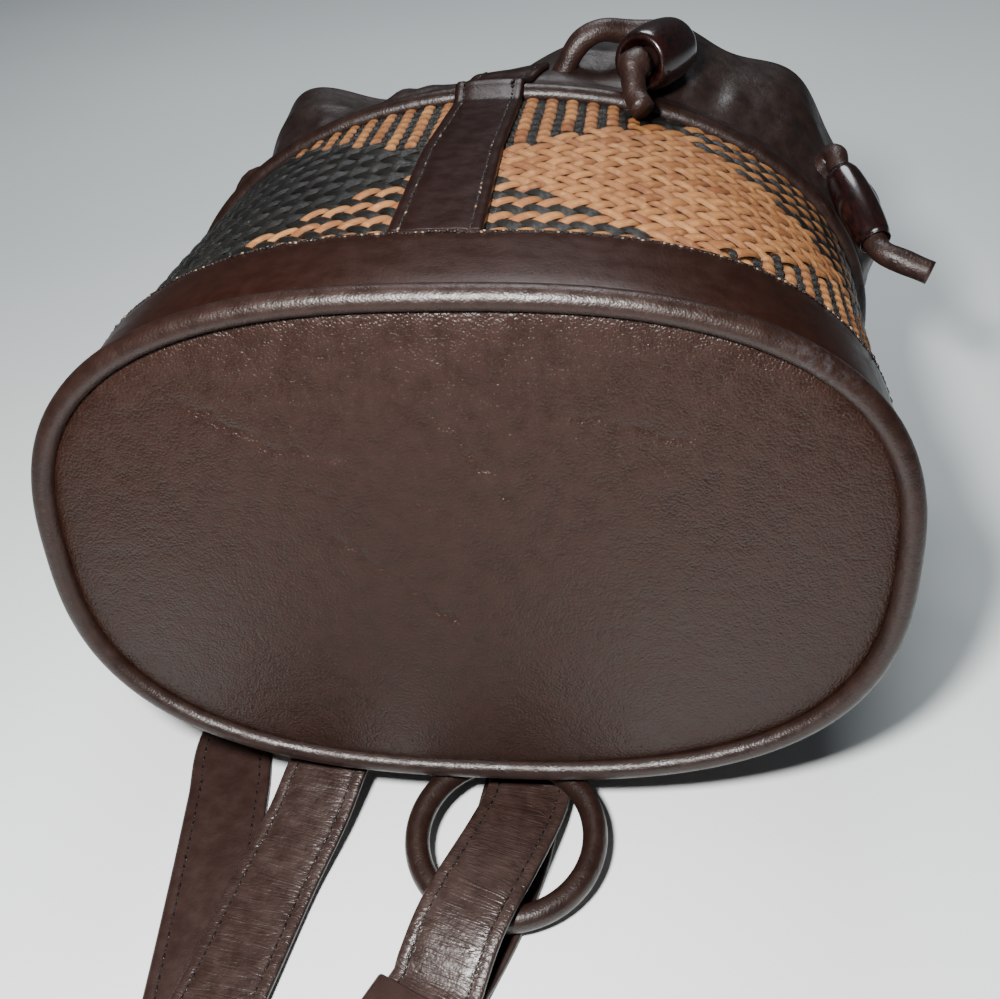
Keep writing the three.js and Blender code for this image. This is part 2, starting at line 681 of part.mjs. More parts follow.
function add(name, geometry, material, where = {}) {
  const mesh = new THREE.Mesh(geometry, material);
  mesh.name = name;
  if (where.position) mesh.position.copy(where.position);
  if (where.quaternion) mesh.quaternion.copy(where.quaternion);
  if (where.rotation) mesh.rotation.z = where.rotation;
  bag.add(mesh);
  return mesh;
}

const bandStart = BASE_PIPING_RADIUS + GAP;
const lapStart = BAND_HEIGHT - STRAW_LAP;
const strawEnd = BODY_HEIGHT - UPPER_PIPING_RADIUS - GAP;
const collarStart = BODY_HEIGHT + UPPER_PIPING_RADIUS + GAP;

add("base_panel", basePanel(), PANEL_LEATHER);
add("base_piping", allRound(rollProfile(0, 0, BASE_PIPING_RADIUS), BODY_STEPS), BROWN_LEATHER);
add("lower_band", allRound(wallProfile(bandStart, BAND_HEIGHT, 0, LEATHER, [lapStart]), BODY_STEPS), BROWN_LEATHER);
add(
  "straw_body",
  allRound(wallProfile(lapStart, strawEnd, STRAW_OUTER, STRAW, STRAW_ROWS), BODY_STEPS),
  PLAITED_STRAW,
);
add("front_strip", frontStrip(), BROWN_LEATHER);
add(
  "upper_piping",
  allRound(rollProfile(BODY_HEIGHT, UPPER_SEAM_OVER, UPPER_PIPING_RADIUS), BODY_STEPS),
  BROWN_LEATHER,
);

const HELD_STEP = 2 * CORD_RADIUS;
const FREE_STEP = 1.5 * CORD_RADIUS;
const held = heldRoute();
const cords = [
  { name: "drawcord", route: held, step: HELD_STEP },
  {
    name: "cord_end_front",
    route: freeRoute(held[0], held[1], FRONT_END, FRONT_BEAD_AXIS, FRONT_TAIL),
    step: FREE_STEP,
  },
  {
    name: "cord_end_side",
    route: freeRoute(held.at(-1), held.at(-2), SIDE_END, SIDE_BEAD_AXIS, SIDE_TAIL),
    step: FREE_STEP,
  },
];
const gathered = solid(allRound(wallProfile(collarStart, MOUTH, 0, LEATHER, COLLAR_ROWS), COLLAR_STEPS));
const collar = cords.reduce(
  (wall, { route, step }) => wall.subtract(solid(tube(route, CORD_RADIUS + SLOT_CLEARANCE, step))),
  gathered,
);
add("collar", geometryOf(collar), SOFT_LEATHER);
for (const { name, route, step } of cords) {
  const round = tube(route, CORD_RADIUS, step);
  add(name, name === "cord_end_front" ? geometryOf(solid(round).add(solid(knot()))) : round, BROWN_LEATHER);
}
const frontBead = bead(FRONT_BEAD_AXIS, FRONT_BEAD);
add("bead_front", frontBead.geometry, DARK_WOOD, frontBead);
const sideBead = bead(SIDE_BEAD_AXIS, SIDE_BEAD);
add("bead_side", sideBead.geometry, DARK_WOOD, sideBead);

const strapStep = 11;
const leftRoute = strapRoute(LEFT_OUT, LEFT_KEEPER, LEFT_FAR, LEFT_BACK);
const rightRoute = strapRoute(RIGHT_OUT, RIGHT_KEEPER, RIGHT_FAR, RIGHT_BACK);
add("strap_left", ribbon(leftRoute, STRAP_WIDTH, STRAP_THICKNESS, strapStep), STRAP_LEATHER);
add("strap_right", ribbon(rightRoute, STRAP_WIDTH, STRAP_THICKNESS, strapStep), STRAP_LEATHER);
for (const [name, where] of [["keeper_left", LEFT_KEEPER], ["keeper_right", RIGHT_KEEPER]]) {
  const sleeve = keeper(where);
  add(name, sleeve.geometry, BROWN_LEATHER, sleeve);
}

const ringHeight = STRAP_THICKNESS + GAP + RING_TUBE + RING_RADIUS * Math.sin(RING_TILT);
const ring = add("carry_ring", new THREE.TorusGeometry(RING_RADIUS, RING_TUBE, ROUND_SIDES, RING_STEPS), BROWN_LEATHER, {
  position: new THREE.Vector3(RING_PLACE.x, RING_PLACE.y, ringHeight),
});
ring.rotation.x = RING_TILT;

// The part stands centred over its origin, measured without the free ends of the cord.
const FREE_PIECES = ["cord_end_front", "cord_end_side", "bead_front", "bead_side"];
const box = new THREE.Box3();
for (const mesh of bag.children) if (!FREE_PIECES.includes(mesh.name)) box.expandByObject(mesh, true);
const middle = box.getCenter(new THREE.Vector3());
for (const mesh of bag.children) mesh.position.sub(new THREE.Vector3(middle.x, middle.y, box.min.z));

export default bag;
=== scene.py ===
"""Builds the looks of a plaited straw and leather backpack around its CAD frame."""

import math

import bmesh
import bpy
import numpy as np
from bpy.props import FloatProperty, FloatVectorProperty, IntProperty, PointerProperty
from bpy.types import Operator, Panel, PropertyGroup
from mathutils import Matrix, Vector


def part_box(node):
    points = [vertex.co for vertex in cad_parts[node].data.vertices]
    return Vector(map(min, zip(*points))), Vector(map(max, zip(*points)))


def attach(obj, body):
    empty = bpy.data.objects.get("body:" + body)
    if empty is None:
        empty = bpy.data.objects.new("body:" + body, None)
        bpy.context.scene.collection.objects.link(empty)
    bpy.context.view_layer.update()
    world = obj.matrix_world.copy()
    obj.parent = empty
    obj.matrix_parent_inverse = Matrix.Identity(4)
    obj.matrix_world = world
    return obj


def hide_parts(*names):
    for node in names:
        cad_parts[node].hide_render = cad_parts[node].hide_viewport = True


bl_info = {
    "name": "Straw Bucket Backpack",
    "version": (1, 0, 0),
    "blender": (4, 5, 0),
    "location": "View3D > Sidebar > Backpack",
    "description": "Builds a plaited straw and leather backpack around its frame",
    "category": "Add Mesh",
}

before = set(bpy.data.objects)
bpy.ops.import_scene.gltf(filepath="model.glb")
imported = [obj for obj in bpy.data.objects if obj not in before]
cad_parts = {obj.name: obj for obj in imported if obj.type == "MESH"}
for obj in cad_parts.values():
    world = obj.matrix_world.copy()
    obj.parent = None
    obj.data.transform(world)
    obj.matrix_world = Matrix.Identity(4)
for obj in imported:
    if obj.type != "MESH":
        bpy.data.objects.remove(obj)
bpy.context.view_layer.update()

MM = 0.001

# Sizes of the bag in millimetres, as in the part's source
BASE_WIDTH = 240.0
BASE_DEPTH = 155.0
BODY_HEIGHT = 150.0
BAND_SHARE = 0.23
COLLAR_HEIGHT = 52.0
BASE_PIPING_RADIUS = 3.3
UPPER_PIPING_RADIUS = 3.2
LEATHER = 1.6
STRAW = 2.2
GAP = 0.3
LEAN = math.radians(5.8)
BASE_LIFT = 20.0
STRIP_REACH = 24.0
FOLDS = 14
FOLD_DEPTH = 5.0
CORD_RADIUS = 4.2
CORD_LINE = 21.0
STRAP_WIDTH = 27.0
STRAP_THICKNESS = 2.2
KEEPER_WALL = 1.4
KEEPER_LENGTH = 24.0
RING_RADIUS = 27.2
RING_TUBE = 3.8
RING_TILT = math.radians(8.0)
RING_PLACE = (9.5, -17.5)
STRAP_END = -250.0

BAND_HEIGHT = BAND_SHARE * BODY_HEIGHT
HALF_WIDTH = BASE_WIDTH / 2
HALF_DEPTH = BASE_DEPTH / 2
MOUTH = BODY_HEIGHT + COLLAR_HEIGHT
REST_HEIGHT = STRAP_THICKNESS + GAP + UPPER_PIPING_RADIUS
STRAW_OUTER = -(LEATHER + GAP)
UPPER_SEAM_OVER = STRAW_OUTER + 0.9

# Where the bag's own frame starts in the part's frame
ORIGIN_X = (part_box("base_panel")[0][0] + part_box("base_panel")[1][0]) / 2 / MM
ORIGIN_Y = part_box("strap_left")[0][1] / MM - (STRAP_END - STRAP_THICKNESS / 2)

# distance from the base seam, middle and width of the front strip
STRIP_COURSE = np.array(((35, -7.5, 27), (97, -8.6, 26), (142, -6.2, 24), (174, -5.6, 24)), float)

# along, width, rise, middle, back, curve, shift, fold, as in the part's source
SECTION_COLUMNS = ("along", "width", "rise", "middle", "back", "curve", "shift", "fold")
BODY_SECTIONS = (
    (0, 1, 1, 1, 0, 2.63, 0, 0),
    (BAND_SHARE, 1.011, 1.05, 1.03, -0.02, 2.6, 0, 0),
    (0.6, 1.035, 1.088, 1.072, -0.016, 2.34, 0.002, 0),
    (1, 1.066, 1.13, 1.12, 0.01, 2.03, 0.007, 0),
)
COLLAR_SECTIONS = (
    (0, 1.066, 1.13, 1.12, 0.01, 2.03, 0.007, 0),
    (0.2, 1.055, 1.125, 1.14, 0.01, 2.03, 0.03, 0.12),
    (0.4, 1.045, 1.135, 1.175, 0.01, 2.05, 0.06, 0.4),
    (0.65, 1.08, 1.18, 1.21, 0.01, 2.05, 0.07, 0.85),
    (1, 1.095, 1.2, 1.235, 0.01, 2.05, 0.075, 1),
)
BACK_CURVE = 2.6

# turn, reach and out of the places where the soft collar sinks or swells towards its rim
COLLAR_SWELLS = ((-0.045, 0.1, -22), (0.115, 0.07, 4))
SWELL_FROM, SWELL_FULL = 0.2, 0.9


def section_at(s):
    """The section's sizes at a distance along the bag's axis."""
    in_body = s <= BODY_HEIGHT
    rows = BODY_SECTIONS if in_body else COLLAR_SECTIONS
    share = s / BODY_HEIGHT if in_body else (s - BODY_HEIGHT) / COLLAR_HEIGHT
    upper = next((i for i, row in enumerate(rows) if row[0] >= share), len(rows) - 1)
    low, high = rows[max(upper, 1) - 1], rows[max(upper, 1)]
    t = (share - low[0]) / (high[0] - low[0])
    mixed = {name: a + (b - a) * t for name, a, b in zip(SECTION_COLUMNS, low, high)}
    rest = (REST_HEIGHT - BASE_LIFT + s * math.sin(LEAN)) / math.cos(LEAN)
    back = max(mixed["back"] * HALF_DEPTH, rest)
    middle = mixed["middle"] * HALF_DEPTH
    return {
        "width": mixed["width"] * HALF_WIDTH,
        "rise": mixed["rise"] * HALF_DEPTH,
        "drop": middle - back,
        "middle": middle,
        "curve": mixed["curve"],
        "shift": mixed["shift"] * HALF_WIDTH,
        "fold": mixed["fold"] * FOLD_DEPTH,
    }


TURN_STEPS = 720
FIRST_STATION = -8.0
STATIONS = np.arange(FIRST_STATION, MOUTH + 6.0, 1.0)


def trace_outlines():
    """Tables of the outline's points, normals, fold depths and lengths at each station."""
    angle = math.pi / 2 - 2 * math.pi * np.linspace(0, 1, 2 * TURN_STEPS + 1)
    c, d = np.cos(angle), np.sin(angle)
    xs, hs, folds, lengths = [], [], [], []
    for s in STATIONS:
        one = section_at(float(s))
        power = np.where(d >= 0, 2 / one["curve"], 2 / BACK_CURVE)
        x = one["shift"] + one["width"] * np.sign(c) * np.abs(c) ** power
        reach = np.where(d >= 0, one["rise"], one["drop"])
        h = one["middle"] + reach * np.sign(d) * np.abs(d) ** power
        travelled = np.concatenate([[0], np.cumsum(np.hypot(np.diff(x), np.diff(h)))])
        even = np.linspace(0, travelled[-1], TURN_STEPS + 1)[:-1]
        xs.append(np.interp(even, travelled, x))
        hs.append(np.interp(even, travelled, h))
        folds.append(one["fold"])
        lengths.append(travelled[-1])
    xs, hs = np.array(xs), np.array(hs)
    dx = np.roll(xs, -2, axis=1) - np.roll(xs, 2, axis=1)
    dh = np.roll(hs, -2, axis=1) - np.roll(hs, 2, axis=1)
    size = np.hypot(dx, dh)
    return xs, hs, -dh / size, dx / size, np.array(folds), np.array(lengths)


OUT_X, OUT_H, NORMAL_X, NORMAL_H, FOLD_AT, AROUND_AT = trace_outlines()


def around(s):
    """The length of the outline at a distance along the axis."""
    return float(np.interp(s, STATIONS, AROUND_AT))


def smooth_step(x, low, high):
    t = np.clip((x - low) / (high - low), 0, 1)
    return t * t * (3 - 2 * t)


def fold_wave(turn):
    """The gathers round the collar: none under the strip, and shallow where it lies on the ground."""
    t = np.mod(turn, 1)
    angle = 2 * math.pi * t
    wave = 0.72 * np.cos(FOLDS * angle + 0.8 * np.sin(3 * angle)) + 0.28 * np.cos(9 * angle + 1.3)
    from_front = np.minimum(t, 1 - t)
    calm = smooth_step(from_front, 0.025, 0.05)
    back = 1 - 0.65 * smooth_step(from_front, 0.27, 0.36)
    return wave * calm * back


def swell_at(turn, s):
    """How far the collar sinks or swells out at a place."""
    weight = smooth_step((s - BODY_HEIGHT) / COLLAR_HEIGHT, SWELL_FROM, SWELL_FULL)
    total = 0
    for middle, reach, out in COLLAR_SWELLS:
        away = turn - middle - np.round(turn - middle)
        total = total + out * np.cos(math.pi / 2 * np.clip(away / reach, -1, 1)) ** 2
    return weight * total


def placed(x, s, h):
    """Points of the bag's own frame, in metres in the part's frame."""
    y = s * math.cos(LEAN) + h * math.sin(LEAN)
    z = BASE_LIFT - s * math.sin(LEAN) + h * math.cos(LEAN)
    return np.stack([x + ORIGIN_X, y + ORIGIN_Y, z], axis=-1) * MM


def skin(turn, s, over, folded=True):
    """Points over the bag's surface, from turns round it, distance along it and height over it."""
    turn, s, over = np.broadcast_arrays(np.asarray(turn, float), s, over)
    t = np.mod(turn, 1) * TURN_STEPS
    i = np.floor(t).astype(int) % TURN_STEPS
    f = t - np.floor(t)
    row = np.clip((s - FIRST_STATION), 0, len(STATIONS) - 1.001)
    j = np.floor(row).astype(int)
    g = row - j

    def table(values):
        near = values[j, i] * (1 - f) + values[j, (i + 1) % TURN_STEPS] * f
        far = values[j + 1, i] * (1 - f) + values[j + 1, (i + 1) % TURN_STEPS] * f
        return near * (1 - g) + far * g

    nx, nh = table(NORMAL_X), table(NORMAL_H)
    size = np.hypot(nx, nh)
    out = over + swell_at(turn, s)
    if folded:
        out = out + (FOLD_AT[j] * (1 - g) + FOLD_AT[j + 1] * g) * fold_wave(turn)
    return placed(table(OUT_X) + nx / size * out, s, table(OUT_H) + nh / size * out)


# Routes in the bag's frame, in millimetres, as in the part's source


def on_ground(points):
    """Points given on the ground beside the bag, in metres in the part's frame."""
    array = np.array(points, float)
    array[:, 0] += ORIGIN_X
    array[:, 1] += ORIGIN_Y
    return array * MM


FLOOR_LAYER = STRAP_THICKNESS / 2
SECOND_LAYER = FLOOR_LAYER + STRAP_THICKNESS + GAP
KEPT_LOWER = KEEPER_WALL + GAP + STRAP_THICKNESS / 2
KEPT_UPPER = KEPT_LOWER + STRAP_THICKNESS + GAP
FOLD_HEIGHT = 4.6

LEFT_OUT = (
    (-42, 171, 4.3),
    (-44, 160, 2.6),
    (-47, 148, FLOOR_LAYER),
    (-60, 110, FLOOR_LAYER),
    (-76, 68, FLOOR_LAYER),
    (-89.5, 27, FLOOR_LAYER),
    (-85.5, 0, FLOOR_LAYER),
    (-81, -29, FLOOR_LAYER),
    (-74.8, -73, FLOOR_LAYER),
    (-72.2, -92, KEPT_LOWER - 0.4),
)
LEFT_KEEPER = (-71, -112, 0.02)
LEFT_FAR = (
    (-70.5, -132, KEPT_LOWER - 0.4),
    (-70.2, -150, FLOOR_LAYER),
    (-70, -200, FLOOR_LAYER),
)
LEFT_BACK = (
    (-69.4, -92, KEPT_UPPER - 0.3),
    (-65.8, -73, SECOND_LAYER + 0.3),
    (-59.8, -34, SECOND_LAYER + 0.6),
    (-54, -12, 8.5),
    (-50.5, 4, 13.4),
    (-47.5, 16, 15.2),
    (-45, 33, 14.7),
)
RIGHT_OUT = (
    (42, 171, 4.3),
    (41, 160, 2.6),
    (39, 148, FLOOR_LAYER),
    (31, 112, FLOOR_LAYER),
    (21, 66, FLOOR_LAYER),
    (15, 27, FLOOR_LAYER),
    (12.4, 6, FLOOR_LAYER),
    (9.6, -18, FLOOR_LAYER),
    (4, -40, FLOOR_LAYER),
    (-2.4, -58, FLOOR_LAYER),
)
RIGHT_KEEPER = (-12.3, -81, -0.43)
RIGHT_FAR = (
    (-21.6, -103, KEPT_LOWER - 0.5),
    (-24.5, -122, FLOOR_LAYER),
    (-25, -150, FLOOR_LAYER),
    (-25, -200, FLOOR_LAYER),
)
RIGHT_BACK = (
    (-4, -61.5, 7.6),
    (-0.4, -50, 12.3),
    (3.2, -40, 13.3),
    (6.8, -30, 12.8),
    (11, -15, 9.6),
    (13.9, -3, 7.4),
    (15.4, 9, 6.9),
    (16.2, 19, 9.6),
    (16.8, 26, 12.6),
    (17.2, 33, 13.7),
)


def strap_route(out, keeper, far, back):
    """The whole loop of a strap: out along the ground, through its keeper, folded back and home."""
    x, y, turned = keeper
    along = (math.sin(turned), -math.cos(turned))

    def kept(z):
        return [
            (x + along[0] * share * KEEPER_LENGTH, y + along[1] * share * KEEPER_LENGTH, z)
            for share in (-0.72, -0.53, 0.53, 0.72)
        ]

    fold_x = far[-1][0]
    fold = [
        (fold_x, STRAP_END + 22, FLOOR_LAYER),
        (fold_x, STRAP_END + 6, FLOOR_LAYER),
        (fold_x, STRAP_END + 1.2, FLOOR_LAYER + 0.5),
        (fold_x, STRAP_END, FLOOR_LAYER + FOLD_HEIGHT / 2),
        (fold_x, STRAP_END + 1.2, FLOOR_LAYER + FOLD_HEIGHT - 0.5),
        (fold_x, STRAP_END + 6, FLOOR_LAYER + FOLD_HEIGHT),
        (fold_x, STRAP_END + 22, SECOND_LAYER + 0.8),
    ]
    lifted = [(a, b, c + STRAP_THICKNESS + GAP + 0.2) for a, b, c in reversed(far)]
    upper = list(reversed(kept(KEPT_UPPER)))
    return on_ground([*out, *kept(KEPT_LOWER), *far, *fold, *lifted, *upper, *back])


# Free ends of the cord: turns, distance past the collar seam and height over the surface
FRONT_END = (
    (0.0215, 21, 5.2),
    (0.0265, 21.5, 9.6),
    (0.034, 23, 12.2),
    (0.0445, 25.4, 11),
    (0.0575, 27, 8.4),
    (0.0695, 27.2, 8.6),
    (0.073, 23.8, 10.4),
)
FRONT_BEAD_AXIS = ((0.0708, 18.5, 11.6), (0.0605, -4.5, 13.4))
FRONT_TAIL = (
    (0.0592, -7.4, 12.8),
    (0.0605, -11.6, 9.2),
    (0.0632, -14.6, 5.4),
    (0.067, -19, 3.6),
)
SIDE_END = ((0.167, 20.8, 1), (0.1648, 19.5, 6.8), (0.1655, 16.2, 9.4))
SIDE_BEAD_AXIS = ((0.1705, 10.5, 9.4), (0.1965, -17.5, 9.8))
SIDE_TAIL = ((0.2, -21.5, 11), (0.205, -25, 16), (0.211, -28.5, 23))
CORD_OUTSIDE = ((-0.16, -0.23), (-0.28, -0.34), (-0.66, -0.72))
FRONT_EXIT = 0.0195
SIDE_EXIT = 0.165
SLOT_RAMP = 0.012
STRAIGHT_LEAD = 2.0
FRONT_BEAD = (24.0, 11.0, 9.8, 7.4, 5.0)
SIDE_BEAD = (33.0, 7.0, 5.7, 4.9, 1.0)
KNOT_RADIUS, KNOT_LENGTH, KNOT_OUT = 6.4, 13.0, 1.5


def surface_points(rows):
    turns, past, over = np.array(rows, float).T
    return skin(turns, BODY_HEIGHT + past, over)


def held_route():
    """The held stretch of the cord, from the front exit round the back to the side exit."""
    inside = -(LEATHER + GAP + CORD_RADIUS + 0.4)
    outside = CORD_RADIUS + GAP + 0.4
    turn = np.linspace(FRONT_EXIT - SLOT_RAMP, SIDE_EXIT - 1 + SLOT_RAMP, 61)
    share = np.zeros_like(turn)
    for start, end in CORD_OUTSIDE:
        share += smooth_step(start - turn, -SLOT_RAMP / 2, SLOT_RAMP / 2)
        share -= smooth_step(end - turn, -SLOT_RAMP / 2, SLOT_RAMP / 2)
    return skin(turn, BODY_HEIGHT + CORD_LINE, inside + (outside - inside) * share)


def free_route(end, before_end, rows, axis, tail):
    """A free end of the cord, which runs straight through its bead."""
    heading = (end - before_end) / np.linalg.norm(end - before_end)
    start, stop = surface_points(axis)
    lead = (stop - start) / np.linalg.norm(stop - start) * STRAIGHT_LEAD * MM
    return np.vstack(
        [
            end + heading * GAP * MM,
            end + heading * (GAP + 3) * MM,
            surface_points(rows),
            start - lead,
            start,
            stop,
            stop + lead,
            surface_points(tail),
        ]
    )


def spline(points, step):
    """Points a step apart along a centripetal spline through the given points."""
    padded = np.vstack([2 * points[0] - points[1], points, 2 * points[-1] - points[-2]])
    out = []
    for i in range(1, len(padded) - 2):
        p0, p1, p2, p3 = padded[i - 1 : i + 3]
        d0, d1, d2 = (max(np.linalg.norm(b - a), 1e-9) ** 0.5 for a, b in ((p0, p1), (p1, p2), (p2, p3)))
        t1 = ((p1 - p0) / d0 - (p2 - p0) / (d0 + d1) + (p2 - p1) / d1) * d1
        t2 = ((p2 - p1) / d1 - (p3 - p1) / (d1 + d2) + (p3 - p2) / d2) * d1
        parts = max(1, round(float(np.linalg.norm(p2 - p1)) / step))
        for k in range(parts):
            t = k / parts
            out.append(
                p1
                + t1 * t
                + (-3 * p1 + 3 * p2 - 2 * t1 - t2) * t * t
                + (2 * p1 - 2 * p2 + t1 + t2) * t * t * t
            )
    out.append(padded[-2])
    return np.array(out)


# Meshes


WELD = 2e-6
MOST_CORNERS = 4


def link(name, mesh, materials, nodes):
    """Makes the mesh a piece that rides on the bag and stands for the CAD nodes."""
    obj = bpy.data.objects.new(name, mesh)
    bpy.context.scene.collection.objects.link(obj)
    for material in materials:
        mesh.materials.append(material)
    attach(obj, "root")
    if nodes:
        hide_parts(*nodes)
    return obj


def grid_mesh(name, columns, rows, shape, uv_size=(1, 1), caps=False):
    """A grid bent to shape(u, v), u and v from 0 to 1, welded where its edges meet."""
    bm = bmesh.new()
    bm.loops.layers.uv.new("UVMap")
    bmesh.ops.create_grid(bm, x_segments=columns, y_segments=rows, size=0.5, calc_uvs=True)
    layer = bm.loops.layers.uv.active
    flat = np.array([v.co[:2] for v in bm.verts]) + 0.5
    for face in bm.faces:
        for loop in face.loops:
            u, v = flat[loop.vert.index]
            loop[layer].uv = (u * uv_size[0], v * uv_size[1])
    points = shape(flat[:, 0], flat[:, 1])
    for vert, point in zip(bm.verts, points):
        vert.co = point
    bmesh.ops.remove_doubles(bm, verts=bm.verts, dist=WELD)
    if caps:
        open_edges = [e for e in bm.edges if e.is_boundary]
        bmesh.ops.holes_fill(bm, edges=open_edges, sides=0)
        bmesh.ops.triangulate(bm, faces=[f for f in bm.faces if len(f.verts) > MOST_CORNERS])
    bmesh.ops.recalc_face_normals(bm, faces=bm.faces)
    for face in bm.faces:
        face.smooth = True
    mesh = bpy.data.meshes.new(name)
    bm.to_mesh(mesh)
    bm.free()
    return mesh


def profile_at(profile, share):
    """Points of a closed profile at shares of its round."""
    rows = np.array([*profile, profile[0]], float)
    at = np.asarray(share) * (len(rows) - 1)
    return np.stack([np.interp(at, np.arange(len(rows)), rows[:, k]) for k in range(rows.shape[1])], -1)


def round_the_bag(name, profile, steps, relief=None, folded=True):
    """A wall or roll all round the bag, from a closed profile of (distance along, height over)."""

    def shape(u, v):
        s, over = profile_at(profile, v).T
        if relief is not None:
            over = over + relief(u, s, over)
        return skin(u, s, over, folded)

    return grid_mesh(name, steps, len(profile), shape, (around(profile[0][0]) * MM, 1))


def roll_profile(s, over, radius, sides=16):
    angles = [2 * math.pi * (i + 0.5) / sides for i in range(sides)]
    return [(s + radius * math.cos(a), over + radius * math.sin(a)) for a in angles]


class Track:
    """A line through space with its heading, width and upward directions."""

    def __init__(self, points):
        self.points = points
        self.length = np.concatenate([[0], np.cumsum(np.linalg.norm(np.diff(points, axis=0), axis=1))])
        heading = np.gradient(points, self.length, axis=0)
        self.heading = heading / np.linalg.norm(heading, axis=1)[:, None]

    def level(self):
        """Keeps the width level, as on a strap that lies flat."""
        across = None
        widths = []
        for heading in self.heading:
            flat = np.array([heading[1], -heading[0], 0])
            if across is None or np.linalg.norm(flat) > 0.35:
                flat = flat / np.linalg.norm(flat)
                across = -flat if across is not None and flat @ across < 0 else flat
            widths.append(across)
        self.across = np.array(widths)
        up = np.cross(self.heading, self.across)
        self.up = up / np.linalg.norm(up, axis=1)[:, None]
        return self

    def carried(self):
        """Carries the width along without twist, as on a round cord."""
        across = np.cross(self.heading[0], (0.1, 0.2, 1))
        widths = []
        for heading in self.heading:
            across = across - heading * (across @ heading)
            across = across / np.linalg.norm(across)
            widths.append(across)
        self.across = np.array(widths)
        self.up = np.cross(self.heading, self.across)
        return self

    def at(self, distance):
        """Point, heading, width and upward direction at distances along the line."""

        def mix(values):
            return np.stack([np.interp(distance, self.length, values[:, k]) for k in range(3)], -1)

        return mix(self.points), mix(self.heading), mix(self.across), mix(self.up)


def along_track(name, track, profile, columns_per_mm=0.35, relief=None):
    """A closed profile of (across, lift) in millimetres drawn along a track."""
    total = track.length[-1]

    def shape(u, v):
        points, _, across, up = track.at(u * total)
        side, lift = profile_at(profile, v).T
        if relief is not None:
            side, lift = relief(u * total, side, lift)
        return points + across * side[:, None] * MM + up * lift[:, None] * MM

    columns = max(8, round(total / MM * columns_per_mm))
    return grid_mesh(name, columns, len(profile), shape, (total, 1), caps=True)


def repeated(name, template, counts, cell=4.0):
    """Copies a small mesh in rows, and gives each copy's own points and its number."""
    per_copy = len(template.vertices)
    maker = bpy.data.objects.new(name + "_maker", template)
    bpy.context.scene.collection.objects.link(maker)
    for repeats, offset in zip(counts, ((cell, 0, 0), (0, cell, 0))):
        array = maker.modifiers.new("repeat", "ARRAY")
        array.count = repeats
        array.use_relative_offset = False
        array.use_constant_offset = True
        array.constant_offset_displace = offset
    ready = maker.evaluated_get(bpy.context.evaluated_depsgraph_get())
    mesh = bpy.data.meshes.new_from_object(ready)
    mesh.name = name
    bpy.data.objects.remove(maker)
    points = np.empty(len(mesh.vertices) * 3)
    mesh.vertices.foreach_get("co", points)
    points = points.reshape(-1, 3)
    copy = np.arange(len(points)) // per_copy
    points[:, 0] -= cell * (copy % counts[0])
    if len(counts) > 1:
        points[:, 1] -= cell * (copy // counts[0])
    mesh.polygons.foreach_set("use_smooth", np.ones(len(mesh.polygons), bool))
    return mesh, points, copy


def unit(vectors):
    return vectors / np.linalg.norm(vectors, axis=-1, keepdims=True)


def stitches(name, rows, material_list):
    """One mesh of small stitches, from the centre, heading, normal, length, radius and material of each."""
    centre, heading, normal, length, radius, index = (np.array(column) for column in zip(*rows))
    bm = bmesh.new()
    bmesh.ops.create_uvsphere(bm, u_segments=6, v_segments=4, radius=1)
    template = bpy.data.meshes.new(name)
    bm.to_mesh(template)
    faces = len(bm.faces)
    bm.free()
    mesh, points, copy = repeated(name, template, (len(rows),))
    x = unit(heading)
    z = unit(normal - x * (normal * x).sum(-1, keepdims=True))
    y = np.cross(z, x)
    reach = points * np.stack([length / 2, radius, radius * 0.8], -1)[copy]
    ends = centre[copy] + x[copy] * reach[:, :1] + y[copy] * reach[:, 1:2] + z[copy] * reach[:, 2:]
    mesh.vertices.foreach_set("co", ends.ravel())
    obj = link(name, mesh, material_list, ())
    mesh.polygons.foreach_set("material_index", np.repeat(index.astype(np.int32), faces))
    mesh.update()
    return obj


def stitch_rows(points, headings, normals, length, radius, hole_radius, seed, uneven=0.15, first=0.6):
    """Threads of one row with a needle hole between each two; each hole is a small near-black ellipsoid of
    painted shade.
    """
    rng = np.random.default_rng(seed)
    rows = []
    for k, (p, t, n) in enumerate(zip(points, unit(headings), unit(normals))):
        size = max(0.3, 1 + uneven * rng.standard_normal())
        t = t + np.cross(t, n) * rng.standard_normal() * uneven
        p = p + (t * rng.standard_normal() + n * 0.3 * rng.standard_normal()) * uneven * MM
        rows.append((p, t, n, length * size * MM, radius * size * MM, 0 if rng.random() < first else 1))
        if k:
            middle = (p + points[k - 1]) / 2 - n / np.linalg.norm(n) * 0.1 * MM
            rows.append((middle, t, n, hole_radius * 3.4 * MM, hole_radius * MM, 2))
    return rows


# Materials


def srgb(red, green, blue):
    """A colour given in 0 to 255, as linear light."""
    channels = (c / 255 for c in (red, green, blue))
    return (*(c / 12.92 if c <= 0.04045 else ((c + 0.055) / 1.055) ** 2.4 for c in channels), 1)


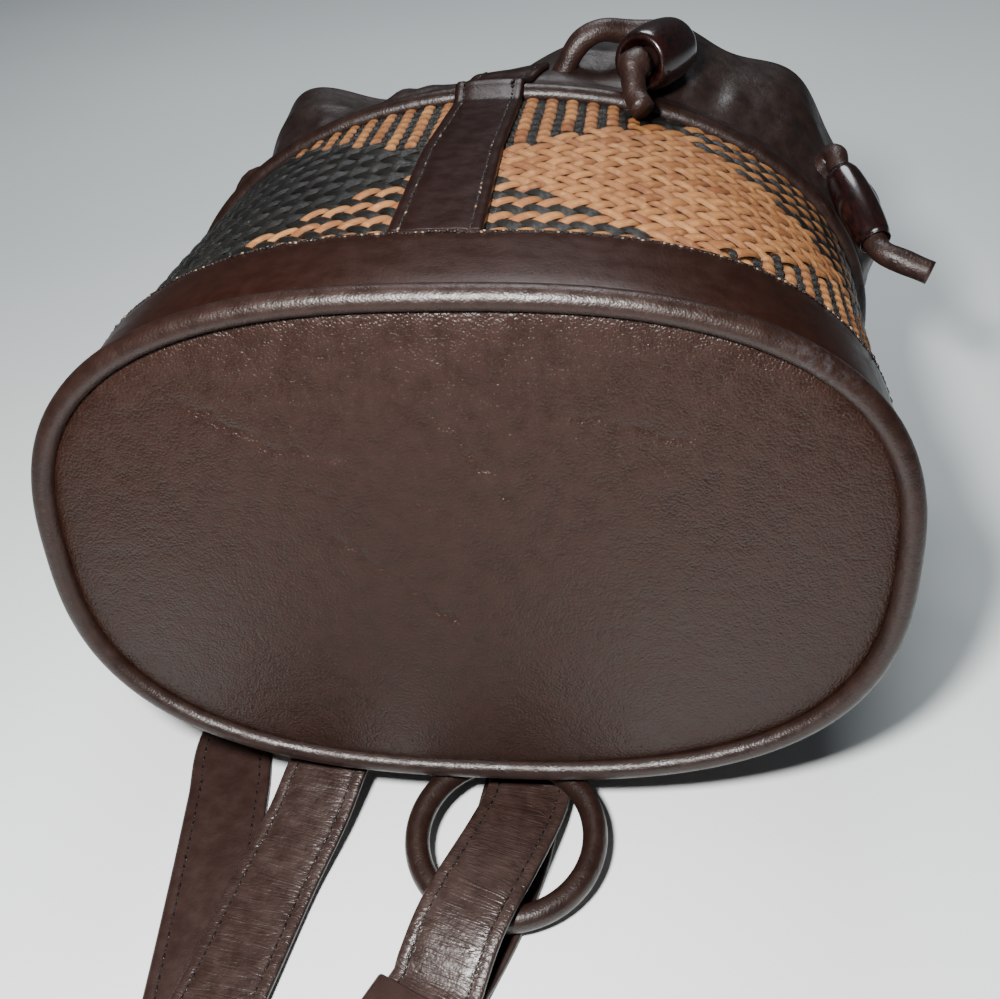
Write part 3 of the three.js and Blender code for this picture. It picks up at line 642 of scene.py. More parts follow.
class Nodes:
    """Builds a material's nodes in short lines."""

    def __init__(self, name):
        self.material = bpy.data.materials.new(name)
        self.material.use_nodes = True
        self.tree = self.material.node_tree
        self.shader = next(n for n in self.tree.nodes if n.type == "BSDF_PRINCIPLED")

    def add(self, kind, inputs=None, **settings):
        node = self.tree.nodes.new(kind)
        for key, value in settings.items():
            setattr(node, key, value)
        for key, value in (inputs or {}).items():
            self.feed(node.inputs[key], value)
        return node

    def feed(self, socket, value):
        if isinstance(value, bpy.types.NodeSocket):
            self.tree.links.new(value, socket)
        else:
            socket.default_value = value

    def math(self, operation, *values):
        node = self.add("ShaderNodeMath", operation=operation)
        for socket, value in zip(node.inputs, values):
            self.feed(socket, value)
        return node.outputs[0]

    def mix(self, share, a, b):
        node = self.add("ShaderNodeMix", data_type="RGBA")
        self.feed(node.inputs[0], share)
        self.feed(node.inputs[6], a)
        self.feed(node.inputs[7], b)
        return node.outputs[2]

    def noise(self, where, scale, detail=2.0, roughness=0.5, distortion=0.0):
        node = self.add(
            "ShaderNodeTexNoise",
            {"Scale": scale, "Detail": detail, "Roughness": roughness, "Distortion": distortion},
        )
        self.feed(node.inputs["Vector"], where)
        return node.outputs[0]

    def ramp(self, value, low, high, start=0.0, end=1.0):
        node = self.add(
            "ShaderNodeMapRange", {"From Min": low, "From Max": high, "To Min": start, "To Max": end}
        )
        self.feed(node.inputs["Value"], value)
        return node.outputs[0]

    def stretched(self, where, scale, rotation=(0, 0, 0)):
        node = self.add("ShaderNodeMapping", {"Scale": scale, "Rotation": rotation})
        self.feed(node.inputs["Vector"], where)
        return node.outputs[0]

    def bump(self, height, distance):
        node = self.add("ShaderNodeBump", {"Strength": 1.0, "Distance": distance})
        self.feed(node.inputs["Height"], height)
        return node.outputs[0]

    def set(self, **values):
        for key, value in values.items():
            self.feed(self.shader.inputs[key.replace("_", " ")], value)
        return self.material


# Blue-grey rub marks at the upper right of the base: a place in the part's frame and their reach
PANEL_SCUFF = ((0.078, 0.014, 0.160), 0.011)
PIPING_SCUFF = ((0.090, 0.014, 0.166), 0.024)
SCUFF_TONE = (92, 96, 102)
SCUFF_SHARE = 0.4

# Leathers: name, darker and lighter tone, roughness, grain in mm, relief, crinkle, soft, level, scuff
LEATHERS = {
    "band": ("band leather", (29, 13, 8), (35, 17, 11), 0.34, 0.8, 0.02, 0, 0.05, 0.2, None),
    "piping": ("piping leather", (28, 15, 11), (35, 19, 14), 0.4, 0.7, 0.05, 0, 0.25, 0.42, PIPING_SCUFF),
    "soft": ("soft leather", (30, 19, 17), (38, 26, 23), 0.42, 1.1, 0.03, 0, 0.25, 0.5, None),
    "strip": ("strip leather", (27, 11, 7), (32, 14, 10), 0.34, 0.9, 0.02, 0, 0.1, 0.25, None),
    "strap": ("strap leather", (40, 24, 21), (47, 30, 26), 0.45, 0.8, 0.03, 0, 0.12, 0.5, None),
    "crinkled": ("crinkled strap leather", (39, 26, 23), (54, 39, 35), 0.36, 1, 0.04, 0.12, 0.25, 0.5, None),
    "edge": ("painted edge", (14, 8, 7), (22, 12, 10), 0.4, 0.8, 0.03, 0, 0.25, 0.5, None),
    "cord": ("cord leather", (30, 15, 11), (44, 24, 19), 0.46, 0.9, 0.08, 0, 0.25, 0.5, None),
}
PANEL_FINISH = (0.38, 0.8, 0.13, 0, 0.4, 0.34, PANEL_SCUFF)

# Threads: name, tone and roughness. The bright thread's pale tone is a painted highlight that stands for
# glints on dark thread
THREADS = {
    "thread": ("dark thread", (26, 15, 12), 0.35),
    "bright thread": ("painted glint thread", (132, 110, 92), 0.3),
    # The needle hole's near-black tone is painted shade in the hole
    "hole": ("needle hole painted shade", (8, 6, 5), 0.8),
}


def leather(name, dark, light, roughness, grain, relief, crinkle, soft, level, scuff):
    """Leather with slightly mottled colour, fine pebbled grain and, where it has them, crinkles across it."""
    n = Nodes(name)
    coords = n.add("ShaderNodeTexCoord")
    where = coords.outputs["Object"]
    fine = n.noise(where, 190, 2, 0.6)
    colour = n.mix(n.ramp(fine, 0.3, 0.7), srgb(*dark), srgb(*light))
    pebbles = n.add("ShaderNodeTexVoronoi", {"Scale": 1 / (grain * MM)}, feature="F1")
    n.feed(pebbles.inputs["Vector"], where)
    pores = n.noise(where, 1500, 1, 0.5)
    pebbled = n.math("MULTIPLY", pebbles.outputs[0], -relief)
    height = n.math("ADD", pebbled, n.math("MULTIPLY", pores, relief * 1.6))
    height = n.math("ADD", height, n.math("MULTIPLY", fine, soft))
    if crinkle:
        flat = n.stretched(coords.outputs["UV"], (1, 0.3, 1), (0, 0, -0.6))
        lines = n.noise(flat, 520, 2, 0.6, 0.8)
        folded = n.math("ABSOLUTE", n.ramp(lines, 0.3, 0.7, -1, 1))
        height = n.math("ADD", height, n.math("MULTIPLY", folded, crinkle))
    if scuff:
        place, reach = scuff
        away = n.add("ShaderNodeVectorMath", operation="DISTANCE")
        n.feed(away.inputs[0], where)
        n.feed(away.inputs[1], place)
        rubbed = n.ramp(n.noise(where, 420, 4, 0.75), 0.46, 0.7)
        near = n.ramp(away.outputs["Value"], reach, 0.3 * reach, 0.0, SCUFF_SHARE)
        colour = n.mix(n.math("MULTIPLY", rubbed, near), colour, srgb(*SCUFF_TONE))
    rough = n.ramp(fine, 0.3, 0.7, roughness - 0.05, roughness + 0.07)
    return n.set(Base_Color=colour, Roughness=rough, Specular_IOR_Level=level, Normal=n.bump(height, MM))


def thread(name, tone, roughness):
    """Twisted thread, with painted shade where its strands turn away."""
    n = Nodes(name)
    colour = srgb(*tone)
    where = n.add("ShaderNodeTexCoord").outputs["Object"]
    twist = n.noise(where, 1800, 2, 0.6)
    tint = n.mix(n.ramp(twist, 0.35, 0.65, 0, 0.6), colour, tuple(0.45 * c for c in colour[:3]) + (1,))
    return n.set(Base_Color=tint, Roughness=roughness, Normal=n.bump(twist, 0.15 * MM))


def straw_material(settings):
    """Straw strips: tan or black by the tone attribute, each with its own tint and long fibres, and painted
    shade at the ends and edges of each float by the rim attribute.
    """
    n = Nodes("plaited straw")
    tone = n.add("ShaderNodeAttribute", attribute_name="tone").outputs["Fac"]
    tint = n.add("ShaderNodeAttribute", attribute_name="tint").outputs["Fac"]
    uv = n.add("ShaderNodeTexCoord").outputs["UV"]
    where = n.add("ShaderNodeTexCoord").outputs["Object"]
    rim = n.add("ShaderNodeAttribute", attribute_name="rim").outputs["Fac"]
    fibres = n.noise(n.stretched(uv, (0.9, 14, 1)), 2.4, 2, 0.6)
    blotches = n.noise(where, 420, 1, 0.5)
    light = n.mix(tint, srgb(*settings.tan_low), srgb(*settings.tan_high))
    light = n.mix(n.ramp(fibres, 0.35, 0.7, 0.0, 0.4), light, srgb(140, 84, 44))
    light = n.mix(n.ramp(blotches, 0.5, 0.75, 0.0, 0.3), light, srgb(222, 172, 116))
    # Painted shade: the rim attribute darkens the tan towards the ends and edges of each float
    light = n.mix(n.math("MULTIPLY", rim, 0.75), light, srgb(74, 40, 20))
    dark = n.mix(tint, srgb(8, 7, 6), srgb(26, 25, 22))
    dark = n.mix(n.ramp(fibres, 0.5, 0.8, 0.0, 0.4), dark, srgb(56, 52, 45))
    colour = n.mix(tone, light, dark)
    rough = n.ramp(tone, 0, 1, 0.55, 0.36)
    return n.set(Base_Color=colour, Roughness=rough, Normal=n.bump(fibres, 0.22 * MM))


def bead_material():
    """Dark red-brown varnished wood."""
    n = Nodes("varnished bead")
    where = n.add("ShaderNodeTexCoord").outputs["Object"]
    grain = n.noise(n.stretched(where, (1, 0.2, 1)), 700, 3, 0.6, 1.0)
    colour = n.mix(n.ramp(grain, 0.35, 0.7), srgb(9, 6, 6), srgb(38, 12, 10))
    n.shader.inputs["Coat Weight"].default_value = 0.6
    n.shader.inputs["Coat Roughness"].default_value = 0.08
    return n.set(Base_Color=colour, Roughness=0.25, Normal=n.bump(grain, 0.05 * MM))


MATERIALS = {}


def material(name):
    """Makes each material once, from the settings in the sidebar."""
    if name in MATERIALS:
        return MATERIALS[name]
    settings = bpy.context.scene.backpack
    if name in LEATHERS:
        made = leather(*LEATHERS[name])
    elif name in THREADS:
        made = thread(*THREADS[name])
    elif name == "panel":
        made = leather("panel leather", settings.leather_dark, settings.leather_light, *PANEL_FINISH)
    elif name == "straw":
        made = straw_material(settings)
    else:
        made = bead_material()
    MATERIALS[name] = made
    return made


# Settings


def colour_property(name, description, default):
    return FloatVectorProperty(name=name, description=description, default=default, size=3, min=0, max=255)


class BackpackSettings(PropertyGroup):
    """Sizes and colours that can be changed before the pieces are built."""

    leather_dark: colour_property("Dark leather", "Darker tone of the base, 0 to 255", (30, 14, 8))
    leather_light: colour_property("Light leather", "Lighter tone of the base, 0 to 255", (36, 18, 11))
    tan_low: colour_property("Deep tan", "Deeper tone of the natural straw, 0 to 255", (124, 73, 36))
    tan_high: colour_property("Pale tan", "Paler tone of the natural straw, 0 to 255", (176, 121, 68))
    strips_round: IntProperty(
        name="Strips round",
        description="Straw strips of one direction round the bag",
        default=96,
        min=24,
        max=160,
    )
    row_pitch: FloatProperty(
        name="Row pitch",
        description="Distance between two rows of the same direction",
        default=0.0108,
        min=0.005,
        max=0.03,
        unit="LENGTH",
        precision=4,
    )
    stitch_pitch: FloatProperty(
        name="Stitch pitch",
        description="Distance between two stitches",
        default=0.0034,
        min=0.002,
        max=0.01,
        unit="LENGTH",
        precision=4,
    )


# The straw

# Where the tan strips of the plaid start and how many millimetres they go on, for both slants
BACK_TAN_START, BACK_TAN_WIDTH = 84, 93
FORWARD_TAN_START, FORWARD_TAN_WIDTH = -13, 111
FLOAT_HALF_LENGTH, FLOAT_HALF_WIDTH = 5.2, 2.3
UPRIGHT_HALF_LENGTH = 5.3
NATURAL_HALF_WIDTH, BLACK_HALF_WIDTH = 2.1, 1.7
FIRST_ROW = 2.6
TUCKED_UNDER = 7.5


def plaited_floats(name, settings, inside=False):
    """The visible stretches of all the strips, slanting one way and then the other."""
    along, across = (4, 2) if inside else (8, 4)
    count = settings.strips_round
    pitch = settings.row_pitch / MM
    row_count = math.ceil((BODY_HEIGHT - BAND_HEIGHT + 8) / (pitch / 2))
    bm = bmesh.new()
    bm.loops.layers.uv.new("UVMap")
    bmesh.ops.create_grid(bm, x_segments=along, y_segments=across, size=1, calc_uvs=True)
    template = bpy.data.meshes.new(name)
    bm.to_mesh(template)
    bm.free()
    woven, flat, island = repeated(name, template, (count, row_count))
    column, row = island % count, island // count
    x, y = flat[:, 0], flat[:, 1]

    rng = np.random.default_rng(11 if inside else 5)
    amount = count * row_count

    def scatter(spread):
        return (rng.standard_normal(amount) * spread)[island]

    forward = row % 2 == 0
    nominal = around(0.6 * BODY_HEIGHT)
    spacing = nominal / count
    centre_s = BAND_HEIGHT + FIRST_ROW + (pitch / 2) * row
    centre_turn = (column + np.where(forward, 0.2, 0.7)) / count
    signed = np.mod(centre_turn + 0.5, 1) - 0.5
    u = signed * nominal
    slope = pitch / (2 * spacing)
    key_back = centre_s + slope * u
    key_forward = centre_s - slope * u
    period = slope * nominal / 2
    back_tan = np.mod(key_back - BACK_TAN_START, period) < BACK_TAN_WIDTH
    forward_tan = np.mod(key_forward - FORWARD_TAN_START, period) < FORWARD_TAN_WIDTH
    plain = back_tan & ~forward_tan
    is_tan = np.where(forward, forward_tan, back_tan)

    tilt = np.arctan(slope) + scatter(0.05)
    direction = np.where(forward, tilt, -tilt)
    half_length = FLOAT_HALF_LENGTH + scatter(0.2)
    half_width = FLOAT_HALF_WIDTH + scatter(0.12)
    lengthwise = np.where(plain, 2 * np.abs(x) - 1, x)
    arch = -1.4 + 1.6 * np.sqrt(np.clip(1 - 0.9 * lengthwise**2, 0, 1)) + scatter(0.07)
    dome = -0.75 * y * y
    # rim: painted shade, darkest at the floats' ends and edges, where they tuck under their neighbours
    rim = np.maximum(np.abs(lengthwise) ** 4, 0.85 * np.abs(y) ** 3)
    slip = scatter(0.18)
    du = x * half_length * np.cos(direction) - y * half_width * np.sin(direction) + slip
    ds = x * half_length * np.sin(direction) + y * half_width * np.cos(direction)

    # plain weave where natural strips cross black ones near the top
    natural = plain & forward
    upright_width = np.where(natural, NATURAL_HALF_WIDTH, BLACK_HALF_WIDTH)
    du = np.where(plain, y * upright_width + slip, du)
    ds = np.where(plain, x * UPRIGHT_HALF_LENGTH, ds)
    is_tan = np.where(plain, natural, is_tan)
    over = np.where(plain & ~natural, arch - 0.3, arch) + dome

    s = centre_s + ds
    turn = centre_turn + du / nominal
    signed = np.mod(turn + 0.5, 1) - 0.5
    strip_middle, strip_width = strip_at(s)
    beside = np.abs(signed * nominal - strip_middle) - strip_width / 2
    lid = np.where((s < BAND_HEIGHT + 1.2) | (beside < 0.8), STRAW_OUTER - 0.12, 9)
    height = np.minimum(STRAW_OUTER + 0.25 + over, lid + 0.3 * (over - 0.2))
    s = np.clip(s, BAND_HEIGHT - TUCKED_UNDER, BODY_HEIGHT - UPPER_PIPING_RADIUS + 0.6)
    if inside:
        height = 2 * STRAW_OUTER - STRAW + 0.15 - (STRAW_OUTER + 0.25 + over) - 0.1
    points = skin(turn, s, height, folded=False)
    woven.vertices.foreach_set("co", points.ravel())
    for label, values in (
        ("tone", np.where(is_tan, 0.0, 1.0)),
        ("tint", np.clip(0.5 + scatter(0.26), 0, 1)),
        ("rim", rim),
    ):
        layer = woven.attributes.new(label, "FLOAT", "POINT")
        layer.data.foreach_set("value", values.astype(np.float32))
    if inside:
        woven.flip_normals()
    woven.update()
    return woven


class BACKPACK_OT_straw(Operator):
    """Builds the plaited straw wall"""

    bl_idname = "backpack.straw"
    bl_label = "Straw"

    def execute(self, context):
        settings = context.scene.backpack
        straw = material("straw")
        outer = STRAW_OUTER - 0.9
        low, high = BAND_HEIGHT - 7.8, BODY_HEIGHT - UPPER_PIPING_RADIUS - GAP
        rows = [low + (high - low) * i / 8 for i in range(9)]
        profile = [(s, outer) for s in rows] + [(s, outer - 0.8) for s in reversed(rows)]
        backing = round_the_bag("straw_backing", profile, 160)
        # A tone of 0.85 makes the backing nearly black: painted shade seen in the gaps between the floats
        layer = backing.attributes.new("tone", "FLOAT", "POINT")
        layer.data.foreach_set("value", np.full(len(backing.vertices), 0.85, np.float32))
        link("straw_backing", backing, [straw], ["straw_body"])
        link("straw_floats", plaited_floats("straw_floats", settings), [straw], [])
        inner = plaited_floats("straw_floats_inside", settings, inside=True)
        link("straw_floats_inside", inner, [straw], [])
        return {"FINISHED"}


# The leather body


def band_profile():
    """The band's section: rolled in at the base piping, slightly full, with a turned upper edge."""
    low, high = BASE_PIPING_RADIUS + GAP - 1.2, BAND_HEIGHT
    outer = [(low, -1.5), (low + 1.0, -0.6), (low + 3, 0.0), (low + 9, 0.35), (low + 17, 0.35)]
    outer += [(high - 6, 0.1), (high - 3, 0.05), (high - 2.2, -0.12), (high - 1.5, -0.2), (high - 0.8, 0.0)]
    outer += [(high - 0.2, -0.15), (high, -0.6)]
    inner = [(high - 0.1, -1.3), (high - 1, -1.55), (high - 12, -1.55), (low + 2, -1.8), (low, -2.3)]
    return outer + inner


def gentle_waves(size, seed):
    """A slow random unevenness of a leather surface, in millimetres."""
    rng = np.random.default_rng(seed)
    waves = [
        (rng.integers(2, 14), rng.uniform(0.02, 0.12), rng.uniform(0, 6.28), rng.uniform(0.3, 1))
        for _ in range(10)
    ]

    def relief(u, s, over):
        total = sum(a * np.sin(2 * math.pi * k * u + q * s + p) for k, q, p, a in waves)
        return size * total / 3

    return relief


class BACKPACK_OT_body(Operator):
    """Builds the leather base, band and piping"""

    bl_idname = "backpack.body"
    bl_label = "Base, band and piping"

    def execute(self, context):
        inset = -(BASE_PIPING_RADIUS * 0.62)

        def panel(u, v):
            edge = skin(u, 0.0 * v, inset, folded=False) / MM
            middle = placed(0.0, 0.0, HALF_DEPTH) / MM
            out = edge + (middle - edge) * (1 - v[:, None])
            crown = 1.2 - 1.9 * np.sqrt(np.clip(1 - v**26, 0, 1))
            crown = crown + base_relief(out, middle)
            axis = np.array([0, math.cos(LEAN), -math.sin(LEAN)])
            return (out + axis * crown[:, None]) * MM

        face = grid_mesh("base_leather", 280, 100, panel)
        obj = link("base_leather", face, [material("panel")], ["base_panel"])
        wall = obj.modifiers.new("thickness", "SOLIDIFY")
        wall.thickness = 1.4 * MM
        wall.offset = -1
        piping = round_the_bag("base_piping_leather", roll_profile(0, 0, BASE_PIPING_RADIUS), 240)
        link("base_piping_leather", piping, [material("piping")], ["base_piping"])
        band = round_the_bag("band_leather", band_profile(), 240, gentle_waves(0.12, 3))
        link("band_leather", band, [material("band")], ["lower_band"])
        upper = round_the_bag(
            "upper_piping_leather", roll_profile(BODY_HEIGHT, UPPER_SEAM_OVER, UPPER_PIPING_RADIUS), 240
        )
        link("upper_piping_leather", upper, [material("piping")], ["upper_piping"])
        pitch = context.scene.backpack.stitch_pitch / MM / 2
        s = BAND_HEIGHT - 1.1
        count = round(around(s) / pitch)
        turn = np.arange(count) / count
        points = skin(turn, s, 0.0)
        headings = skin(turn + 0.001, s, 0.0) - skin(turn - 0.001, s, 0.0)
        normals = skin(turn, s, 1.0) - skin(turn, s, 0.0)
        # Half the band's stitches take the bright thread, a painted highlight for glints
        rows = stitch_rows(points, headings, normals, 1.0, 0.26, 0.4, 21, uneven=0.5, first=0.5)
        stitches("band_stitches", rows, [material("bright thread"), material("thread"), material("hole")])
        return {"FINISHED"}


# Creases in the base's leather: both ends across and up from the middle of the base, and their depth
BASE_CREASES = (
    (-73, 49, -51, 36, 0.7),
    (-51, 36, -30, 31, 0.35),
    (-4, 46, 5, 34, 0.6),
    (5, 34, 14, 21, 0.6),
    (-36, 8, -19, -7, 0.5),
    (-19, -7, -3, -21, 0.6),
    (30, 46, 62, 38, 0.35),
    (-12, 20, 8, 10, 0.3),
)
CREASE_WIDTH = 0.9


def base_relief(out, middle):
    """Slow unevenness and creases of the base's leather, from where a point is on it."""
    across, up = out[:, 0] - middle[0], out[:, 2] - middle[2]
    x, z = across / HALF_WIDTH, up / HALF_DEPTH
    height = 0.3 * np.sin(3.1 * x + 1.7 * z + 0.6) + 0.2 * np.sin(5.3 * x - 4.1 * z + 2.0)
    height += 0.07 * np.sin(11 * x + 7 * z) + 0.05 * np.sin(17 * x - 13 * z + 1.0)
    for x0, z0, x1, z1, depth in BASE_CREASES:
        length = math.hypot(x1 - x0, z1 - z0)
        ux, uz = (x1 - x0) / length, (z1 - z0) / length
        along = np.clip((across - x0) * ux + (up - z0) * uz, 0, length)
        wavy = 0.9 * np.sin(0.55 * along) + 0.4 * np.sin(1.3 * along + 1.0)
        away = np.hypot(across - x0 - along * ux - wavy * uz, up - z0 - along * uz + wavy * ux)
        height += depth * np.exp(-((away / CREASE_WIDTH) ** 2))
    return height


# Front strip and collar


STRIP_ROWS = 90


def strip_at(s):
    """Middle and width of the strip at a distance from the base seam."""
    along, middle, width = STRIP_COURSE.T
    return np.interp(s, along, middle), np.interp(s, along, width)


def strip_height(s):
    """Height of the strip's underside over the surface."""
    piping_top = UPPER_SEAM_OVER + UPPER_PIPING_RADIUS + 0.05
    knots = (
        (BAND_HEIGHT - 2, STRAW_OUTER + 0.15),
        (BODY_HEIGHT - 2.8 * UPPER_PIPING_RADIUS, STRAW_OUTER + 0.2),
        (BODY_HEIGHT - UPPER_PIPING_RADIUS, piping_top - 1.6),
        (BODY_HEIGHT - 0.4 * UPPER_PIPING_RADIUS, piping_top - 0.1),
        (BODY_HEIGHT + 0.4 * UPPER_PIPING_RADIUS, piping_top - 0.1),
        (BODY_HEIGHT + UPPER_PIPING_RADIUS, piping_top - 1.1),
        (BODY_HEIGHT + 2.4 * UPPER_PIPING_RADIUS, 0.1),
        (BODY_HEIGHT + STRIP_REACH, 0.1),
    )
    return np.interp(s, [k[0] for k in knots], [k[1] for k in knots])


class BACKPACK_OT_front_strip(Operator):
    """Builds the stitched strip up the front"""

    bl_idname = "backpack.front_strip"
    bl_label = "Front strip"

    def execute(self, context):
        half = 12.5
        top = [(-half, 0.3), (-half + 0.3, 1.2), (-half + 1, 1.7), (-half + 2.6, 1.75), (-half + 3.6, 1.45)]
        top += [(-half + 4.6, 1.75), (-half + 8, 1.8), (0, 1.8)]
        profile = top + [(-x, z) for x, z in reversed(top[:-1])] + [(half - 1, 0), (0, 0), (-half + 1, 0)]
        start, end = BAND_HEIGHT - 0.6, BODY_HEIGHT + STRIP_REACH

        def shape(u, v):
            s = start + (end - start) * u
            side, lift = profile_at(profile, v).T
            middle, width = strip_at(s)
            turn = (middle + side / half * width / 2) / np.interp(s, STATIONS, AROUND_AT)
            return skin(turn, s, strip_height(s) + lift)

        mesh = grid_mesh("strip_leather", STRIP_ROWS, len(profile), shape, ((end - start) * MM, 1), caps=True)
        link("strip_leather", mesh, [material("strip")], ["front_strip"])
        pitch = context.scene.backpack.stitch_pitch / MM
        rows = []
        for side in (-1, 1):
            s = np.arange(BAND_HEIGHT + 2, end - 3, pitch)
            middle, width = strip_at(s)
            turn = (middle + side * (width / 2 - 3.6)) / np.interp(s, STATIONS, AROUND_AT)
            over = strip_height(s) + 1.5
            points = skin(turn, s, over)
            headings = skin(turn, s + 0.5, over) - skin(turn, s - 0.5, over)
            normals = skin(turn, s, over + 1) - points
            # Three in ten of the strip's stitches take the bright thread, a painted highlight for glints
            rows += stitch_rows(points, headings, normals, 1.7, 0.3, 0.55, 31 + side, uneven=0.3, first=0.7)
        stitches("strip_stitches", rows, [material("thread"), material("bright thread"), material("hole")])
        return {"FINISHED"}


class BACKPACK_OT_collar(Operator):
    """Builds the gathered collar"""

    bl_idname = "backpack.collar"
    bl_label = "Collar"

    def execute(self, context):
        start, end = BODY_HEIGHT + 1.2, MOUTH - 0.2
        rows = [start + (end - start) * i / 52 for i in range(53)]
        outer = [(s, 0.0) for s in rows]
        rim = [(end + 0.4, -0.35), (end + 0.5, -0.8), (end + 0.4, -1.25)]
        inner = [(s, -LEATHER) for s in reversed(rows[::3])]

        def wrinkles(u, s, over):
            past = s - BODY_HEIGHT
            drawn = np.exp(-(((past - CORD_LINE) / 7.0) ** 2))
            angle = 2 * math.pi * u
            fine = np.cos(41 * angle + 2.2 * np.sin(3 * angle) + 0.05 * past) * 0.55
            fine += np.cos(67 * angle + 1.4 * np.sin(5 * angle) - 0.04 * past) * 0.35
            t = np.mod(u, 1)
            calm = smooth_step(np.minimum(t, 1 - t), 0.03, 0.06)
            groove = np.exp(-(((past - 11.5) / 1.3) ** 2))
            ridge = 1.1 * np.exp(-(((past - CORD_LINE) / 4.5) ** 2)) - groove
            slow = 0.25 * np.cos(23 * angle + 0.12 * past) * smooth_step(past, 25, 45)
            return fine * drawn * calm + slow + np.where(over > -0.3, ridge, 0) * calm

        mesh = round_the_bag("collar_leather", outer + rim + inner, 420, wrinkles)
        link("collar_leather", mesh, [material("soft")], ["collar"])
        return {"FINISHED"}


# Cords and beads


def cord_profile(radius, sides=14):
    angles = [2 * math.pi * i / sides for i in range(sides)]
    return [(radius * math.cos(a), radius * math.sin(a)) for a in angles]


def bead_mesh(name, axis, size):
    """A bead turned about its axis, with a bored hole and rounded lips."""
    length, radius, end, mouth, funnel = size
    bore = CORD_RADIUS + 0.3
    half = length / 2
    shares = np.linspace(-1, 1, 17)
    outer = [(end + (radius - end) * (1 - t * t) - 0.5 * abs(t) ** 14, t * half) for t in shares]
    lips = [(mouth + 0.6, half), (mouth, half - 0.5), (bore, half - funnel)]
    profile = [*outer, *lips, (bore, -half + 0.5), (bore + 0.5, -half + 0.05)]
    bm = bmesh.new()
    verts = [bm.verts.new((r * MM, 0, z * MM)) for r, z in profile]
    edges = [bm.edges.new((a, b)) for a, b in zip(verts, verts[1:] + verts[:1])]
    bmesh.ops.spin(
        bm,
        geom=verts + edges,
        cent=(0, 0, 0),
        axis=(0, 0, 1),
        angle=2 * math.pi,
        steps=40,
        use_merge=True,
    )
    start, stop = surface_points(axis)
    turn = Vector((0, 0, 1)).rotation_difference(Vector(stop - start)).to_matrix().to_4x4()
    bmesh.ops.transform(bm, matrix=Matrix.Translation(Vector((start + stop) / 2)) @ turn, verts=bm.verts)
    bmesh.ops.recalc_face_normals(bm, faces=bm.faces)
    for face in bm.faces:
        face.smooth = True
    mesh = bpy.data.meshes.new(name)
    bm.to_mesh(mesh)
    bm.free()
    return mesh


FRONT_CORD_LENGTH = 0.113
SIDE_CORD_LENGTH = 0.078


class BACKPACK_OT_cords(Operator):
    """Builds the threaded cord, its two free ends and their beads"""

    bl_idname = "backpack.cords"
    bl_label = "Cord and beads"

    def execute(self, context):
        held = held_route()
        leather_cord = material("cord")
        front = free_route(held[0], held[1], FRONT_END, FRONT_BEAD_AXIS, FRONT_TAIL)
        side = free_route(held[-1], held[-2], SIDE_END, SIDE_BEAD_AXIS, SIDE_TAIL)
        ends = (("front", front, FRONT_CORD_LENGTH), ("side", side, SIDE_CORD_LENGTH))
        beads = {
            "front": bead_mesh("bead_front_wood", FRONT_BEAD_AXIS, FRONT_BEAD),
            "side": bead_mesh("bead_side_wood", SIDE_BEAD_AXIS, SIDE_BEAD),
        }

        knot_at = {"front": surface_points(FRONT_BEAD_AXIS)[1], "side": None}

        for name, route, length in ends:
            track = Track(spline(route, 1.5 * MM)).carried()
            knot = None
            if knot_at[name] is not None:
                nearest = np.argmin(np.linalg.norm(track.points - knot_at[name], axis=1))
                knot = track.length[nearest] / MM + KNOT_OUT

            def twisted(distance, side, lift, knot=knot):
                angle = np.arctan2(lift, side)
                size = 1 + 0.03 * np.cos(2 * angle + distance * 420)
                if knot is not None:
                    away = (distance / MM - knot) / (KNOT_LENGTH / 2)
                    bulge = KNOT_RADIUS / CORD_RADIUS * np.sqrt(np.clip(1 - away**2, 0, 1))
                    wound = 0.93 + 0.07 * np.cos(3 * angle + distance * 900)
                    size = np.maximum(size, bulge * wound)
                return side * size, lift * size

            mesh = along_track(f"cord_{name}_leather", track, cord_profile(CORD_RADIUS * 0.97), 0.8, twisted)
            cord = link(f"cord_{name}_leather", mesh, [leather_cord], [f"cord_end_{name}"])
            bead = link(f"bead_{name}_wood", beads[name], [material("bead")], [f"bead_{name}"])
        track = Track(spline(held, 3 * MM)).carried()
        mesh = along_track("cord_held_leather", track, cord_profile(CORD_RADIUS * 0.98, 12), 0.35)
        link("cord_held_leather", mesh, [leather_cord], ["drawcord"])
        return {"FINISHED"}


# Straps, keepers and ring


def strap_profile():
    """A strap's section with sunk stitch lines and painted edges, from its front face round its back."""
    half, face = STRAP_WIDTH / 2, STRAP_THICKNESS / 2
    top = [(-half + 0.35, face - 0.3), (-half + 1, face), (-half + 2.8, face + 0.02)]
    top += [(-half + 3.8, face - 0.22), (-half + 4.8, face + 0.04), (-half + 8, face + 0.1), (0, face + 0.12)]
    front = top + [(-x, z) for x, z in reversed(top[:-1])]
    back = [(x, -z) for x, z in reversed(front)]
    return front + [(half, 0.3), (half, -0.3)] + back + [(-half, -0.3), (-half, 0.3)]


